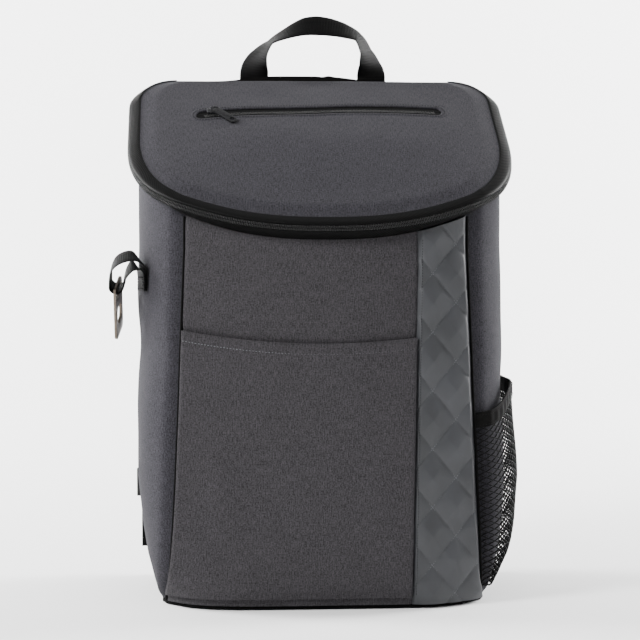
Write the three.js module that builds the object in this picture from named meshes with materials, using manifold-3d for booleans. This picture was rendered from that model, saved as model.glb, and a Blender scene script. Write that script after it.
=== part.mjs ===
// Cooler backpack: a padded grey bag with a sloping zipped lid, a quilted strip, a front pocket,
// a net side pocket and a steel bottle opener on a side loop.
// Millimetres, +Z up. The front faces -Y, +X is to the right seen from the front.
// The origin lies on the ground under the middle of the base.

import * as THREE from "three";
import { mergeVertices } from "three/addons/utils/BufferGeometryUtils.js";
import Module from "manifold-3d";

const wasm = await Module();
wasm.setup();

// Driving sizes

const GAP = 0.3;

// height is that of the lid's edge at the back; backCorner is the round of the two back edges.
const BODY = { width: 308, depth: 182, height: 441, backCorner: 32, wall: 5, base: 2.7, baseInset: 1 };

// The front stands between two seams that spread towards the base. Its middle is bowed forward.
const FRONT = { width: 262, bow: 16, wall: 6, cornerReach: 80 };

// The side panels turn in under the front's edge, so that each seam is a groove.
const SEAM = { dip: 4.5, reach: 16 };

const BACK = { wall: 6, binding: 15, bindingDepth: 1.7 };

// slope is rise over run, crown the swell of the padding, droop how far the front edge bends down in
// its middle, droopWidth the width of that bend, edgeDrop the round-over at the rim.
const LID = { slope: 0.62, crown: 8, droop: 8, droopWidth: 250, thickness: 9, edgeDrop: 4, roundOver: 0.94 };

// The main zip stands out round the rim: a tape from the lid, the teeth, and a tape to the body,
// which shows most at the middle of the front.
const BAND = { stand: 9.4, tape: 1.2, lidTape: 6, teeth: 5, teethDepth: 2.2, bodyTape: 2.4,
  frontTape: 5.4 };

const MAIN_SLIDER = { length: 12, width: 8, depth: 3.4, pull: 26, pullWidth: 7, pullDepth: 1.6,
  place: 0.985 };

// The quilted strip lies between its own seam and the right front seam.
const QUILT = { seamBottom: 68.5, seamTop: 73, wide: 38.6, tall: 47.3, crossX: 85.1, crossZ: 271.5,
  puff: 1.6 };

const POCKET = { left: 226, right: 220, sag: 7, cloth: 1.6, lift: 1.1, bottom: 9 };

// The lid's own zip lies in a shallow slot: leftY and rightY are the depths of its two ends.
const SLOT = { length: 211, middle: 1.5, leftY: 24.5, rightY: 31, width: 14.6, depth: 1.7, end: 9 };
const LID_ZIP = { tape: 0.8, teeth: 5, teethDepth: 1.2, endStop: 7 };

const SLIDER = { length: 11, width: 8.6, depth: 2.6, nose: 5.2, shoulder: 2.2, fromEnd: 15 };
const CROWN = { length: 5, width: 1.2, bar: 0.65 };
const PULL = { length: 27, width: 7.5, plate: 1.4, pin: 0.55, lift: 1.1, eye: 3.2, arm: 1.1,
  grip: 0.9, turn: 50, chamfer: 1.9, hole: 2.2, holeFromEnd: 4.7 };

const WEBBING = { width: 25, thickness: 1.8 };

const HANDLE = { spread: 100, tall: 62, root: 16 };

// lean turns the loop's free part about its sewn end, so that its front edge hangs lower, and
// foldTurn turns the webbing in its fold. bulge is how far the round side reaches into its sewn end.
const LOOP = { width: 20, thickness: 1.5, y: -38, sewn: 30, top: 286.5, out: 28, drop: 30, fold: 11.2,
  lean: 24, foldTurn: 6, bulge: 0.2 };
const OPENER = { width: 29, length: 48, plate: 2, corner: 5, slot: 23, slotTall: 8, slotRound: 2,
  bar: 3.6, hole: 17, holeTall: 15, holeRound: 5, holeDown: 21.6, turn: -9, tilt: -3 };

// The net pocket is sewn along both seams of the right side and stands off it as it hangs empty.
const NET = { top: 180, frontDrop: 22, bottom: 12, stand: 11, mouthStand: 5.6, sewnStand: 0.5, cord: 1.3,
  columns: 12, rows: 7, open: 0.72, backEdge: 0.17, frontEdge: 0.99 };
const BINDING = { tall: 12.5, thickness: 1.4 };

const STRAP = { top: 396, length: 262, width: 62, endWidth: 46, thickness: 9, rootX: 44, endX: 118,
  hang: 33 };
const LOCK = { width: 32, tall: 25, depth: 3.4, bar: 3.6, x: BODY.width / 2 - 13, z: 81, off: 9 };
const ANCHOR = { x: BODY.width / 2 - 42, z: 26, width: 30, tall: 26, thickness: 2 };
const YOKE = { width: 158, tall: 34, thickness: 2, z: 398 };
const STRAP_WEB = { tail: 46, apart: 1.1, narrower: 1.5, bend: 4 };

// Outline of the body at heights from the base to the rim. at is a share of BODY.height, width of
// BODY.width, seam of FRONT.width, front of half BODY.depth, bow of FRONT.bow; square is the power of
// the bow, low for an even curve and high for a flat front with round corners.
const SECTIONS = [
  { at: 0.0, width: 0.864, seam: 1.0, front: 0.94, bow: 2.2, square: 6 },
  { at: 0.023, width: 0.888, seam: 0.992, front: 0.97, bow: 1.75, square: 5.4 },
  { at: 0.05, width: 0.914, seam: 0.977, front: 0.985, bow: 1.25, square: 4.4 },
  { at: 0.09, width: 0.946, seam: 0.962, front: 0.995, bow: 0.85, square: 3.3 },
  { at: 0.147, width: 0.971, seam: 0.947, front: 1.0, bow: 0.66, square: 2.6 },
  { at: 0.227, width: 0.992, seam: 0.931, front: 1.0, bow: 0.62, square: 2.3 },
  { at: 0.363, width: 1.0, seam: 0.911, front: 1.0, bow: 0.7, square: 2.2 },
  { at: 0.476, width: 0.994, seam: 0.897, front: 1.0, bow: 0.8, square: 2.2 },
  { at: 0.66, width: 0.988, seam: 0.872, front: 1.0, bow: 1.0, square: 2.3 },
  { at: 1.0, width: 0.988, seam: 0.872, front: 1.0, bow: 1.0, square: 2.3 },
];

// Shallow dents in the side panels: side is -1 or 1, at a share of BODY.height, depth of BODY.wall.
const DENTS = [
  { side: -1, at: 0.48, depth: 0.5, spread: 0.05 },
  { side: 1, at: 0.39, depth: 0.45, spread: 0.06 },
];

// Half of the carry handle's arch: across is a share of half HANDLE.spread, up of HANDLE.tall, and lean
// the degrees by which the webbing's width turns from the arch's plane to the back.
const HANDLE_LINE = [
  { across: 1, up: 0, lean: 0 },
  { across: 1.02, up: 0.28, lean: 0 },
  { across: 1, up: 0.46, lean: 38 },
  { across: 0.92, up: 0.64, lean: 62 },
  { across: 0.76, up: 0.8, lean: 72 },
  { across: 0.48, up: 0.92, lean: 60 },
  { across: 0.2, up: 0.985, lean: 46 },
];
const HANDLE_TOP = { across: 0, up: 1, lean: 42 };

// The free part of the side loop, over the top and round its fold: out is a share of LOOP.out from
// the body's side, down of LOOP.drop from the loop's top.
const LOOP_LINE = [
  { out: 0.1, down: 0.2 },
  { out: 0.36, down: 0 },
  { out: 0.77, down: 0.12 },
  { out: 0.95, down: 0.353 },
  { out: 1, down: 0.735 },
  { out: 0.985, down: 0.89 },
  { out: 0.8, down: 1 },
  { out: 0.615, down: 0.89 },
  { out: 0.6, down: 0.735 },
  { out: 0.5, down: 0.456 },
  { out: 0.34, down: 0.294 },
  { out: 0.18, down: 0.38 },
];

// The padded strap's middle line: down is a share of STRAP.length, out of STRAP.hang.
const STRAP_LINE = [
  { down: 0, out: 0 },
  { down: 0.08, out: 0.04 },
  { down: 0.17, out: 0.36 },
  { down: 0.28, out: 0.8 },
  { down: 0.45, out: 1 },
  { down: 0.65, out: 0.93 },
  { down: 0.85, out: 0.55 },
  { down: 1, out: 0.2 },
];

// Working values

const BACK_Y = BODY.depth / 2;

// Where the parts of the rim end, measured down from the lid's top.
const LID_TAPE_END = LID.edgeDrop + LID.thickness / 2 + BAND.lidTape / 6;
const TEETH_START = LID_TAPE_END + GAP;
const TEETH_END = TEETH_START + BAND.teeth;
const BODY_TAPE_START = TEETH_END + GAP;

const lerp = THREE.MathUtils.lerp;
const smoothstep = THREE.MathUtils.smoothstep;
const vec = (x, y, z) => new THREE.Vector3(x, y, z);

// Solids from faces

/** Collects the triangles of a solid and closes them into one indexed geometry. */
class Faces {
  constructor() {
    this.positions = [];
  }

  triangle(...corners) {
    corners.forEach((p) => this.positions.push(p.x, p.y, p.z));
  }

  quad(a, b, c, d) {
    this.triangle(a, b, c);
    this.triangle(a, c, d);
  }

  geometry() {
    const soup = new THREE.BufferGeometry();
    soup.setAttribute("position", new THREE.Float32BufferAttribute(this.positions, 3));
    return mergeVertices(soup, 1e-4);
  }
}

/** A sheet with two faces on one grid: outer and inner give a point for shares across and up. */
function wall(columns, rows, outer, inner) {
  const faces = new Faces();
  const grid = (face) =>
    Array.from({ length: rows + 1 }, (_, j) =>
      Array.from({ length: columns + 1 }, (_, i) => face(i / columns, j / rows)),
    );
  const out = grid(outer);
  const back = grid(inner);
  for (let j = 0; j < rows; j++) {
    for (let i = 0; i < columns; i++) {
      faces.quad(out[j][i], out[j][i + 1], out[j + 1][i + 1], out[j + 1][i]);
      faces.quad(back[j][i], back[j + 1][i], back[j + 1][i + 1], back[j][i + 1]);
    }
    faces.quad(back[j][0], out[j][0], out[j + 1][0], back[j + 1][0]);
    faces.quad(out[j][columns], back[j][columns], back[j + 1][columns], out[j + 1][columns]);
  }
  for (let i = 0; i < columns; i++) {
    faces.quad(back[0][i], back[0][i + 1], out[0][i + 1], out[0][i]);
    faces.quad(out[rows][i], out[rows][i + 1], back[rows][i + 1], back[rows][i]);
  }
  return faces.geometry();
}

/** A net: the same sheet with one opening in each cell, which takes the share open of its width. */
function net(columns, rows, outer, inner, open) {
  const faces = new Faces();
  const edge = (1 - open) / 2;
  const ring = (i, j, inset) =>
    [[inset, inset], [1 - inset, inset], [1 - inset, 1 - inset], [inset, 1 - inset]].map(
      ([a, b]) => [(i + a) / columns, (j + b) / rows],
    );
  const on = (face, share) => face(share[0], share[1]);
  for (let j = 0; j < rows; j++) {
    for (let i = 0; i < columns; i++) {
      const cell = ring(i, j, 0);
      const hole = ring(i, j, edge);
      for (let k = 0; k < 4; k++) {
        const n = (k + 1) % 4;
        faces.quad(on(outer, cell[k]), on(outer, cell[n]), on(outer, hole[n]), on(outer, hole[k]));
        faces.quad(on(inner, cell[n]), on(inner, cell[k]), on(inner, hole[k]), on(inner, hole[n]));
        faces.quad(on(outer, hole[k]), on(outer, hole[n]), on(inner, hole[n]), on(inner, hole[k]));
      }
    }
  }
  const rim = (a, b) => faces.quad(on(inner, a), on(inner, b), on(outer, b), on(outer, a));
  for (let i = 0; i < columns; i++) {
    rim([i / columns, 0], [(i + 1) / columns, 0]);
    rim([(i + 1) / columns, 1], [i / columns, 1]);
  }
  for (let j = 0; j < rows; j++) {
    rim([0, (j + 1) / rows], [0, j / rows]);
    rim([1, j / rows], [1, (j + 1) / rows]);
  }
  return faces.geometry();
}

/** A flat band along a curve. across(t) is the direction of its width, width(t) and thick its size. */
function strip(curve, steps, across, width, thick) {
  const face = (side) => (t, v) => {
    const tangent = curve.getTangent(t);
    const wide = across(t);
    wide.addScaledVector(tangent, -wide.dot(tangent)).normalize();
    const normal = new THREE.Vector3().crossVectors(tangent, wide);
    return curve
      .getPoint(t)
      .addScaledVector(wide, (v - 0.5) * width(t))
      .addScaledVector(normal, (side * thick) / 2);
  };
  return wall(steps, 1, face(1), face(-1));
}

/** A geometry as a solid for joining and cutting. */
function solid(geometry) {
  const plain = (geometry.index ? geometry.toNonIndexed() : geometry).clone();
  plain.deleteAttribute("normal");
  plain.deleteAttribute("uv");
  const merged = mergeVertices(plain, 1e-4);
  return new wasm.Manifold(
    new wasm.Mesh({
      numProp: 3,
      vertProperties: new Float32Array(merged.attributes.position.array),
      triVerts: new Uint32Array(merged.index.array),
    }),
  );
}

/** A solid back as a geometry. */
function geometryOf(shape) {
  const made = shape.getMesh();
  const geometry = new THREE.BufferGeometry();
  geometry.setAttribute("position", new THREE.BufferAttribute(new Float32Array(made.vertProperties), 3));
  geometry.setIndex(new THREE.BufferAttribute(new Uint32Array(made.triVerts), 1));
  return geometry;
}

/** Several closed geometries joined into one. */
function joined(...geometries) {
  return geometryOf(geometries.map(solid).reduce((all, next) => all.add(next)));
}

/** A box whose lowest corner and size are given. */
function box(x, y, z, wide, deep, tall) {
  return new THREE.BoxGeometry(wide, deep, tall).translate(x + wide / 2, y + deep / 2, z + tall / 2);
}

// Outline of the body

/** The outline's measures at a height, in millimetres, from the table of sections. */
function sectionAt(z) {
  const at = THREE.MathUtils.clamp(z / BODY.height, 0, 1);
  const next = Math.max(1, SECTIONS.findIndex((row) => row.at >= at));
  const [a, b] = [SECTIONS[next - 1], SECTIONS[next]];
  const share = (at - a.at) / (b.at - a.at);
  const mix = (column) => lerp(a[column], b[column], share);
  return {
    half: (mix("width") * BODY.width) / 2,
    seam: (mix("seam") * FRONT.width) / 2,
    front: (-mix("front") * BODY.depth) / 2,
    bow: mix("bow") * FRONT.bow,
    square: mix("square"),
  };
}

/** A plan point of the front at x, with its outward direction. */
function frontAt(section, x) {
  const share = x / section.seam;
  const y = section.front + section.bow * Math.abs(share) ** section.square;
  const steep = (section.bow * section.square * Math.abs(share) ** (section.square - 1)) / section.seam;
  const outward = new THREE.Vector2(Math.sign(x) * steep, -1).normalize();
  return { point: new THREE.Vector2(x, y), outward };
}

/** The left side's plan curve at a section, from the back panel round to the front seam. */
function sidePath(section) {
  const round = BODY.backCorner;
  const end = frontAt(section, -section.seam);
  const corner = section.half - section.seam;
  const reach = FRONT.cornerReach * THREE.MathUtils.clamp(corner / (BODY.width * 0.125), 0.1, 1);
  const start = new THREE.Vector2(-section.half, end.point.y + reach);
  const along = new THREE.Vector2(-end.outward.y, end.outward.x);
  const path = new THREE.CurvePath();
  path.add(new THREE.EllipseCurve(-section.half + round, BACK_Y - round, round, round, Math.PI / 2, Math.PI));
  path.add(new THREE.LineCurve(new THREE.Vector2(-section.half, BACK_Y - round), start));
  path.add(
    new THREE.CubicBezierCurve(
      start,
      start.clone().add(new THREE.Vector2(0, -0.55 * reach)),
      end.point.clone().addScaledVector(along, -0.55 * corner),
      end.point,
    ),
  );
  return path;
}

/** A plan point of a side: t runs from the back panel (0) to the front seam (1). */
function sideAt(path, t, side) {
  const at = (share) => path.getPoint(THREE.MathUtils.clamp(share, 0, 1));
  const point = at(t);
  const step = 1e-3;
  const ahead = at(t + step);
  const behind = at(t - step);
  const along = ahead.sub(behind).normalize();
  return {
    point: new THREE.Vector2(-side * point.x, point.y),
    outward: new THREE.Vector2(-side * along.y, -along.x),
  };
}

/** A point in space from a plan point, moved out along its outward direction. */
function raised(plan, z, out) {
  return vec(plan.point.x + plan.outward.x * out, plan.point.y + plan.outward.y * out, z);
}

// The lid's surface and the rim

/** How near a plan point is to the middle of the front edge, from 0 to 1. */
function frontMiddle(x, y) {
  const across = Math.max(0, 1 - Math.abs((2 * x) / LID.droopWidth) ** 3);
  return across * smoothstep(-y, 0, BACK_Y);
}

/** Height of the lid's padded top over a plan point. */
function lidHeight(x, y) {
  const plane = BODY.height - LID.slope * (BACK_Y - y);
  const side = 1 - (x / (BODY.width / 2)) ** 2;
  const depth = 1 - (y / BACK_Y) ** 2;
  return plane + LID.crown * Math.max(0, side) * Math.max(0, depth) - LID.droop * frontMiddle(x, y);
}

// The lid and the bands of its zip are cut into the same steps round the rim.
const RIM_STEPS = 44;

const RIM_SECTION = sectionAt(BODY.height);
const RIM_SIDE = sidePath(RIM_SECTION);
const RIM_FRONT = 2 * RIM_SECTION.seam;
const RIM_LENGTH = 2 * RIM_SIDE.getLength() + RIM_FRONT;

/** Plan point of the rim: share runs from the back left corner over the front to the back right. */
function rimPlan(share) {
  const run = share * RIM_LENGTH;
  const side = RIM_SIDE.getLength();
  if (run <= side) return sideAt(RIM_SIDE, run / side, -1);
  if (run >= side + RIM_FRONT) return sideAt(RIM_SIDE, (RIM_LENGTH - run) / side, 1);
  return frontAt(RIM_SECTION, run - side - RIM_FRONT / 2);
}

/** A point of the rim, out from the body's outline and down from the lid's top. */
function rimPoint(share, out, down) {
  const plan = rimPlan(share);
  return raised(plan, lidHeight(plan.point.x, plan.point.y) - down, out);
}

/** How far below the lid's top the body's zip tape ends at a plan point of the rim. */
function tapeEnd({ point }) {
  return BODY_TAPE_START + lerp(BAND.bodyTape, BAND.frontTape, frontMiddle(point.x, point.y));
}

/** Height of the top of the body's walls at a plan point of the rim. */
const wallTop = (plan) => lidHeight(plan.point.x, plan.point.y) - tapeEnd(plan) - 2.5 * GAP;

// Body panels

/** Spacing of a panel's columns and rows: closer at both seams, and closer towards the base. */
const towardsSeams = (share) => (1 - Math.cos(Math.PI * share)) / 2;
const towardsBase = (share) => share ** 1.4;
const evenly = (share) => share;

/** One panel of the front between two x positions, each a function of height. */
function frontPiece(columns, rows, from, to, out, thick, bottom, top, spread = [towardsSeams, towardsBase]) {
  const face = (depth) => (a, b) => {
    const across = spread[0](a);
    const rough = lerp(from(BODY.height), to(BODY.height), across);
    const z = lerp(bottom, top(rough), spread[1](b));
    const x = lerp(from(z), to(z), across);
    return raised(frontAt(sectionAt(z), x), z, depth(x, z));
  };
  return wall(columns, rows, face(out), face((x, z) => out(x, z) - thick));
}

const frontTop = (x) => wallTop(frontAt(RIM_SECTION, x));
const leftSeam = (z) => -sectionAt(z).seam + GAP / 2;
const rightSeam = (z) => sectionAt(z).seam - GAP / 2;
const quiltSeam = (z) => lerp(QUILT.seamBottom, QUILT.seamTop, Math.min(1, z / QUILT.crossZ));
const beforeQuilt = (z) => quiltSeam(z) - GAP / 2;
const wallBottom = BODY.base + GAP;

function frontPanel() {
  return frontPiece(12, 14, leftSeam, beforeQuilt, () => 0, FRONT.wall, wallBottom, frontTop);
}

/** Puff of the quilting: full in the middle of a diamond and nothing on its stitched lines. */
function quiltPuff(x, z) {
  const across = (x - QUILT.crossX) / QUILT.wide;
  const up = (z - QUILT.crossZ) / QUILT.tall;
  const toLine = (v) => Math.abs(v - Math.round(v)) * 2;
  return QUILT.puff * Math.sqrt(toLine(across + up) * toLine(across - up));
}

function quiltedPanel() {
  const from = (z) => quiltSeam(z) + GAP / 2;
  return frontPiece(8, 34, from, rightSeam, quiltPuff, FRONT.wall, wallBottom, frontTop, [evenly, evenly]);
}

/** Height of the pocket's hem, which sags between its two seams. */
function hemHeight(x) {
  const share = (x + RIM_SECTION.seam) / (RIM_SECTION.seam + QUILT.seamTop);
  return lerp(POCKET.left, POCKET.right, share) - POCKET.sag * 4 * share * (1 - share);
}

function frontPocket() {
  const out = POCKET.lift + POCKET.cloth;
  return frontPiece(12, 11, leftSeam, beforeQuilt, () => out, POCKET.cloth, POCKET.bottom, hemHeight);
}

/** How far the side panel turns in at a distance from the front seam. */
const seamTurn = (toSeam) => SEAM.dip * (1 - smoothstep(toSeam, 0, SEAM.reach));

/** How far the side panel lies inside the outline: the turn at the seam and the dents. */
function sideDip(toSeam, z, side) {
  const dents = DENTS.filter((dent) => dent.side === side).map((dent) => {
    const away = (z / BODY.height - dent.at) / dent.spread;
    return dent.depth * BODY.wall * Math.exp(-away * away);
  });
  return dents.reduce((sum, depth) => sum + depth, seamTurn(toSeam));
}

/** A plan point of a side panel and its height, for shares from the back seam and up the wall. */
function sidePlace(t, up, side, bottom, top) {
  const z = lerp(bottom, top(sideAt(RIM_SIDE, t, side)), up);
  const path = sidePath(sectionAt(z));
  const length = path.getLength();
  const clear = lerp(GAP / length, 1 - GAP / length, t);
  return { plan: sideAt(path, clear, side), z, toSeam: (1 - clear) * length };
}

function gusset(side) {
  const face = (thick) => (a, b) => {
    const t = side < 0 ? a : 1 - a;
    const at = sidePlace(t, b, side, wallBottom, wallTop);
    return raised(at.plan, at.z, -sideDip(at.toSeam, at.z, side) - thick);
  };
  return wall(14, 11, face(0), face(BODY.wall));
}

// The back panel ends under the lid's lower face.
const BACK_TOP = BODY.height - LID.slope * BACK.wall - LID.thickness - GAP;

function backPanel() {
  const face = (inset) => (a, b) => {
    const z = lerp(wallBottom, BACK_TOP, b);
    const half = sectionAt(z).half - BODY.backCorner - 2 * GAP;
    return vec(lerp(half, -half, a), BACK_Y - inset, z);
  };
  return wall(2, 11, face(0), face(BACK.wall));
}

/** The flat base: the body's outline at its lowest section, a little inside the walls. */
function basePanel() {
  const section = sectionAt(wallBottom);
  const path = sidePath(section);
  const steps = 14;
  const plans = [];
  for (let i = 0; i <= steps; i++) plans.push(sideAt(path, i / steps, -1));
  for (let i = 1; i < steps; i++) plans.push(frontAt(section, lerp(-section.seam, section.seam, i / steps)));
  for (let i = steps; i >= 0; i--) plans.push(sideAt(path, i / steps, 1));
  const corners = plans.map((plan) => plan.point.clone().addScaledVector(plan.outward, -BODY.baseInset));
  return new THREE.ExtrudeGeometry(new THREE.Shape(corners), { depth: BODY.base, bevelEnabled: false });
}

// Lid and main zip

/** The padded lid: rings between its middle and the rim, with a rounded edge. */
function lidShell() {
  const behind = 8;
  const rings = [0, 0.45, 0.78, LID.roundOver, 1];
  const outline = [];
  for (let i = 0; i <= RIM_STEPS; i++) outline.push(rimPlan(i / RIM_STEPS).point);
  const [first, last] = [outline[0], outline[RIM_STEPS]];
  for (let i = 1; i < behind; i++) outline.push(last.clone().lerp(first, i / behind));
  const on = (k, share, lower) => {
    const { x, y } = outline[k % outline.length].clone().multiplyScalar(share);
    const round = lower ? LID.thickness : LID.edgeDrop * smoothstep(share, LID.roundOver - 0.05, 1);
    return vec(x, y, lidHeight(x, y) - round);
  };
  const faces = new Faces();
  outline.forEach((_, k) => {
    for (let r = 1; r < rings.length; r++) {
      const [near, far] = [rings[r - 1], rings[r]];
      if (near === 0) {
        faces.triangle(on(k, 0, false), on(k, far, false), on(k + 1, far, false));
        faces.triangle(on(k, 0, true), on(k + 1, far, true), on(k, far, true));
      } else {
        faces.quad(on(k, near, false), on(k, far, false), on(k + 1, far, false), on(k + 1, near, false));
        faces.quad(on(k, near, true), on(k + 1, near, true), on(k + 1, far, true), on(k, far, true));
      }
    }
    faces.quad(on(k, 1, true), on(k + 1, 1, true), on(k + 1, 1, false), on(k, 1, false));
  });
  return faces.geometry();
}

/**
 * A band round the rim between two faces, each a list of { out, down } points from low to high.
 * A point without down lies where the body's zip tape ends.
 */
function rimBand(outer, inner) {
  const face = (points) => (a, b) => {
    const { out, down } = points[Math.round(b * (points.length - 1))];
    return rimPoint(a, out, down ?? tapeEnd(rimPlan(a)));
  };
  return wall(RIM_STEPS, outer.length - 1, face(outer), face(inner));
}

function lidZipTape() {
  const edge = { out: 2 * GAP, down: LID.edgeDrop };
  const knee = { out: BAND.stand * 0.62, down: LID.edgeDrop + BAND.lidTape * 0.25 };
  const low = { out: BAND.stand - GAP, down: LID_TAPE_END };
  const outer = [
    low,
    { out: knee.out + BAND.tape, down: knee.down },
    { out: edge.out, down: edge.down - BAND.tape / 2 },
  ];
  const inner = [
    { out: low.out - BAND.tape, down: low.down },
    { out: knee.out, down: knee.down + BAND.tape },
    { out: edge.out, down: edge.down + BAND.tape },
  ];
  return rimBand(outer, inner);
}

function mainZipTeeth() {
  const outer = [TEETH_END, TEETH_START].map((down) => ({ out: BAND.stand, down }));
  const inner = outer.map(({ out, down }) => ({ out: out - BAND.teethDepth, down }));
  return rimBand(outer, inner);
}

function bodyZipTape() {
  const high = { out: BAND.stand - GAP, down: BODY_TAPE_START };
  const outer = [{ out: BAND.tape / 2 }, high];
  const inner = [{ out: -BAND.tape / 2 }, { out: high.out - BAND.tape, down: high.down }];
  return rimBand(outer, inner);
}

/** The main zip's slider and pull, parked behind the lid's right corner: one plain piece. */
function mainZipSlider() {
  const seat = rimPoint(MAIN_SLIDER.place, BAND.stand + GAP, (TEETH_START + TEETH_END) / 2);
  const { outward } = rimPlan(MAIN_SLIDER.place);
  const { length, width, depth, pull, pullWidth, pullDepth } = MAIN_SLIDER;
  const body = box(-length / 2, 0, -width / 2, length, depth, width);
  const tab = box(-pullWidth / 2, depth - pullDepth, -pull, pullWidth, pullDepth, pull);
  const shape = joined(body, tab);
  shape.rotateZ(Math.atan2(outward.y, outward.x) - Math.PI / 2);
  return shape.translate(seat.x, seat.y, seat.z);
}

// Lid pocket zip

const SLOT_TILT = (SLOT.rightY - SLOT.leftY) / SLOT.length;
const LEAN = Math.atan(LID.slope);

/** A point over the lid along its pocket zip: along from the zip's middle, across uphill, lift out. */
function onLid(along, across, lift) {
  const x = SLOT.middle + along;
  const y = (SLOT.leftY + SLOT.rightY) / 2 + SLOT_TILT * along + across * Math.cos(LEAN);
  return vec(x, y - lift * Math.sin(LEAN), lidHeight(x, y) + lift * Math.cos(LEAN));
}

/** A ribbon on the lid between two heights over it: its ends narrow where round is above 0. */
function lidRibbon(from, to, width, low, high, round) {
  const steps = 22;
  const endShare = 0.4;
  const face = (lift) => (a, b) => {
    const along = lerp(from, to, a);
    const toEnd = Math.min(along - from, to - along);
    const share = round > 0 ? Math.sqrt(Math.min(1, toEnd / round + endShare ** 2)) : 1;
    return onLid(along, (b - 0.5) * width * share, lift);
  };
  return wall(steps, 1, face(high), face(low));
}

function lidPanel() {
  const half = SLOT.length / 2;
  const cut = lidRibbon(-half, half, SLOT.width, -SLOT.depth, LID.thickness, SLOT.end);
  return geometryOf(solid(lidShell()).subtract(solid(cut)));
}

const ZIP_LIFT = -SLOT.depth + GAP;

function pocketZipTape() {
  const half = SLOT.length / 2 - GAP;
  return lidRibbon(-half, half, SLOT.width - 2 * GAP, ZIP_LIFT, ZIP_LIFT + LID_ZIP.tape, SLOT.end);
}

const TEETH_LIFT = ZIP_LIFT + LID_ZIP.tape + GAP;

function pocketZipTeeth() {
  const half = SLOT.length / 2 - LID_ZIP.endStop;
  return lidRibbon(-half, half, LID_ZIP.teeth, TEETH_LIFT, TEETH_LIFT + LID_ZIP.teethDepth, 0);
}

const SLIDER_ALONG = -SLOT.length / 2 + SLIDER.fromEnd;
const SLIDER_LIFT = TEETH_LIFT + LID_ZIP.teethDepth + GAP;

/** Places a shape modelled on flat ground onto the lid at the pocket zip's slider. */
function onSlider(shape) {
  const seat = onLid(SLIDER_ALONG, 0, SLIDER_LIFT);
  const right = onLid(SLIDER_ALONG + 1, 0, SLIDER_LIFT).sub(seat).normalize();
  const uphill = onLid(SLIDER_ALONG, 1, SLIDER_LIFT).sub(seat);
  uphill.addScaledVector(right, -uphill.dot(right)).normalize();
  const away = new THREE.Vector3().crossVectors(right, uphill);
  const place = new THREE.Matrix4().makeBasis(right, uphill, away).setPosition(seat);
  return shape.applyMatrix4(place);
}

const PIN_RISE = SLIDER.depth + PULL.pin + PULL.lift;

/** The slider: a wedge-ended body with the low bridge that holds the pull. */
function pocketZipSlider() {
  const { length, width, depth, nose, shoulder } = SLIDER;
  const outline = new THREE.Shape([
    new THREE.Vector2(-length / 2, -nose / 2),
    new THREE.Vector2(shoulder, -width / 2),
    new THREE.Vector2(length / 2, -width / 2),
    new THREE.Vector2(length / 2, width / 2),
    new THREE.Vector2(shoulder, width / 2),
    new THREE.Vector2(-length / 2, nose / 2),
  ]);
  const body = new THREE.ExtrudeGeometry(outline, { depth, bevelEnabled: false });
  const { length: span, width: wide, bar } = CROWN;
  const inside = PIN_RISE + PULL.pin + GAP;
  const leg = (x) => box(x, -wide / 2, depth - bar, bar, wide, inside + 2 * bar - depth);
  const top = box(-span / 2, -wide / 2, inside, span, wide, bar);
  return onSlider(joined(body, leg(-span / 2), leg(span / 2 - bar), top));
}

// The pull's free end rests on the lid's cloth, a little below its pin.
const PULL_LIE = Math.asin((PIN_RISE + SLIDER_LIFT - PULL.plate / 2 - 3 * GAP) / PULL.length);

/** The pull: a pin under the bridge, two arms and a plate with a round hole near its end. */
function pocketZipPull() {
  const { length, width, plate, pin, eye, arm, grip, chamfer, hole, holeFromEnd } = PULL;
  const frame = new THREE.Shape([
    new THREE.Vector2(eye, -width / 2),
    new THREE.Vector2(length - chamfer, -width / 2),
    new THREE.Vector2(length, -width / 2 + chamfer),
    new THREE.Vector2(length, width / 2 - chamfer),
    new THREE.Vector2(length - chamfer, width / 2),
    new THREE.Vector2(eye, width / 2),
  ]);
  const round = new THREE.Path();
  round.absarc(length - holeFromEnd, 0, hole, 0, 2 * Math.PI, true);
  frame.holes.push(round);
  const tag = new THREE.ExtrudeGeometry(frame, { depth: plate, bevelEnabled: false, curveSegments: 6 });
  tag.translate(0, 0, -plate / 2);
  const barAcross = new THREE.CylinderGeometry(pin, pin, width, 8);
  const side = (y) => box(-grip / 2, y, -grip / 2, eye + grip, arm, grip);
  const shape = joined(tag, barAcross, side(-width / 2), side(width / 2 - arm));
  shape.rotateY(PULL_LIE);
  shape.rotateZ(THREE.MathUtils.degToRad(-PULL.turn));
  return onSlider(shape.translate(0, 0, PIN_RISE));
}

// Handle, side loop and opener

/** The carry handle: one webbing arch behind the lid, turned edge-on at its two bends. */
function carryHandle() {
  const { spread, tall, root } = HANDLE;
  const steps = 28;
  const y = BACK_Y + BACK.bindingDepth + 3 * GAP + WEBBING.thickness / 2;
  const foot = BODY.height - root;
  const mirrored = [...HANDLE_LINE].reverse().map((row) => ({ ...row, across: -row.across }));
  const rows = [...HANDLE_LINE, HANDLE_TOP, ...mirrored];
  const points = rows.map(({ across, up }) => vec((-across * spread) / 2, y, foot + up * tall));
  const curve = new THREE.CatmullRomCurve3(points);
  const across = (t) => {
    const tangent = curve.getTangent(t);
    const inPlane = vec(tangent.z, 0, -tangent.x);
    const place = t * (rows.length - 1);
    const next = Math.min(rows.length - 1, Math.floor(place) + 1);
    const degrees = lerp(rows[next - 1].lean, rows[next].lean, place - (next - 1));
    const lean = THREE.MathUtils.degToRad(degrees);
    return inPlane.multiplyScalar(-Math.cos(lean)).add(vec(0, Math.sin(lean), 0));
  };
  return strip(curve, steps, across, () => WEBBING.width, WEBBING.thickness);
}

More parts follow.
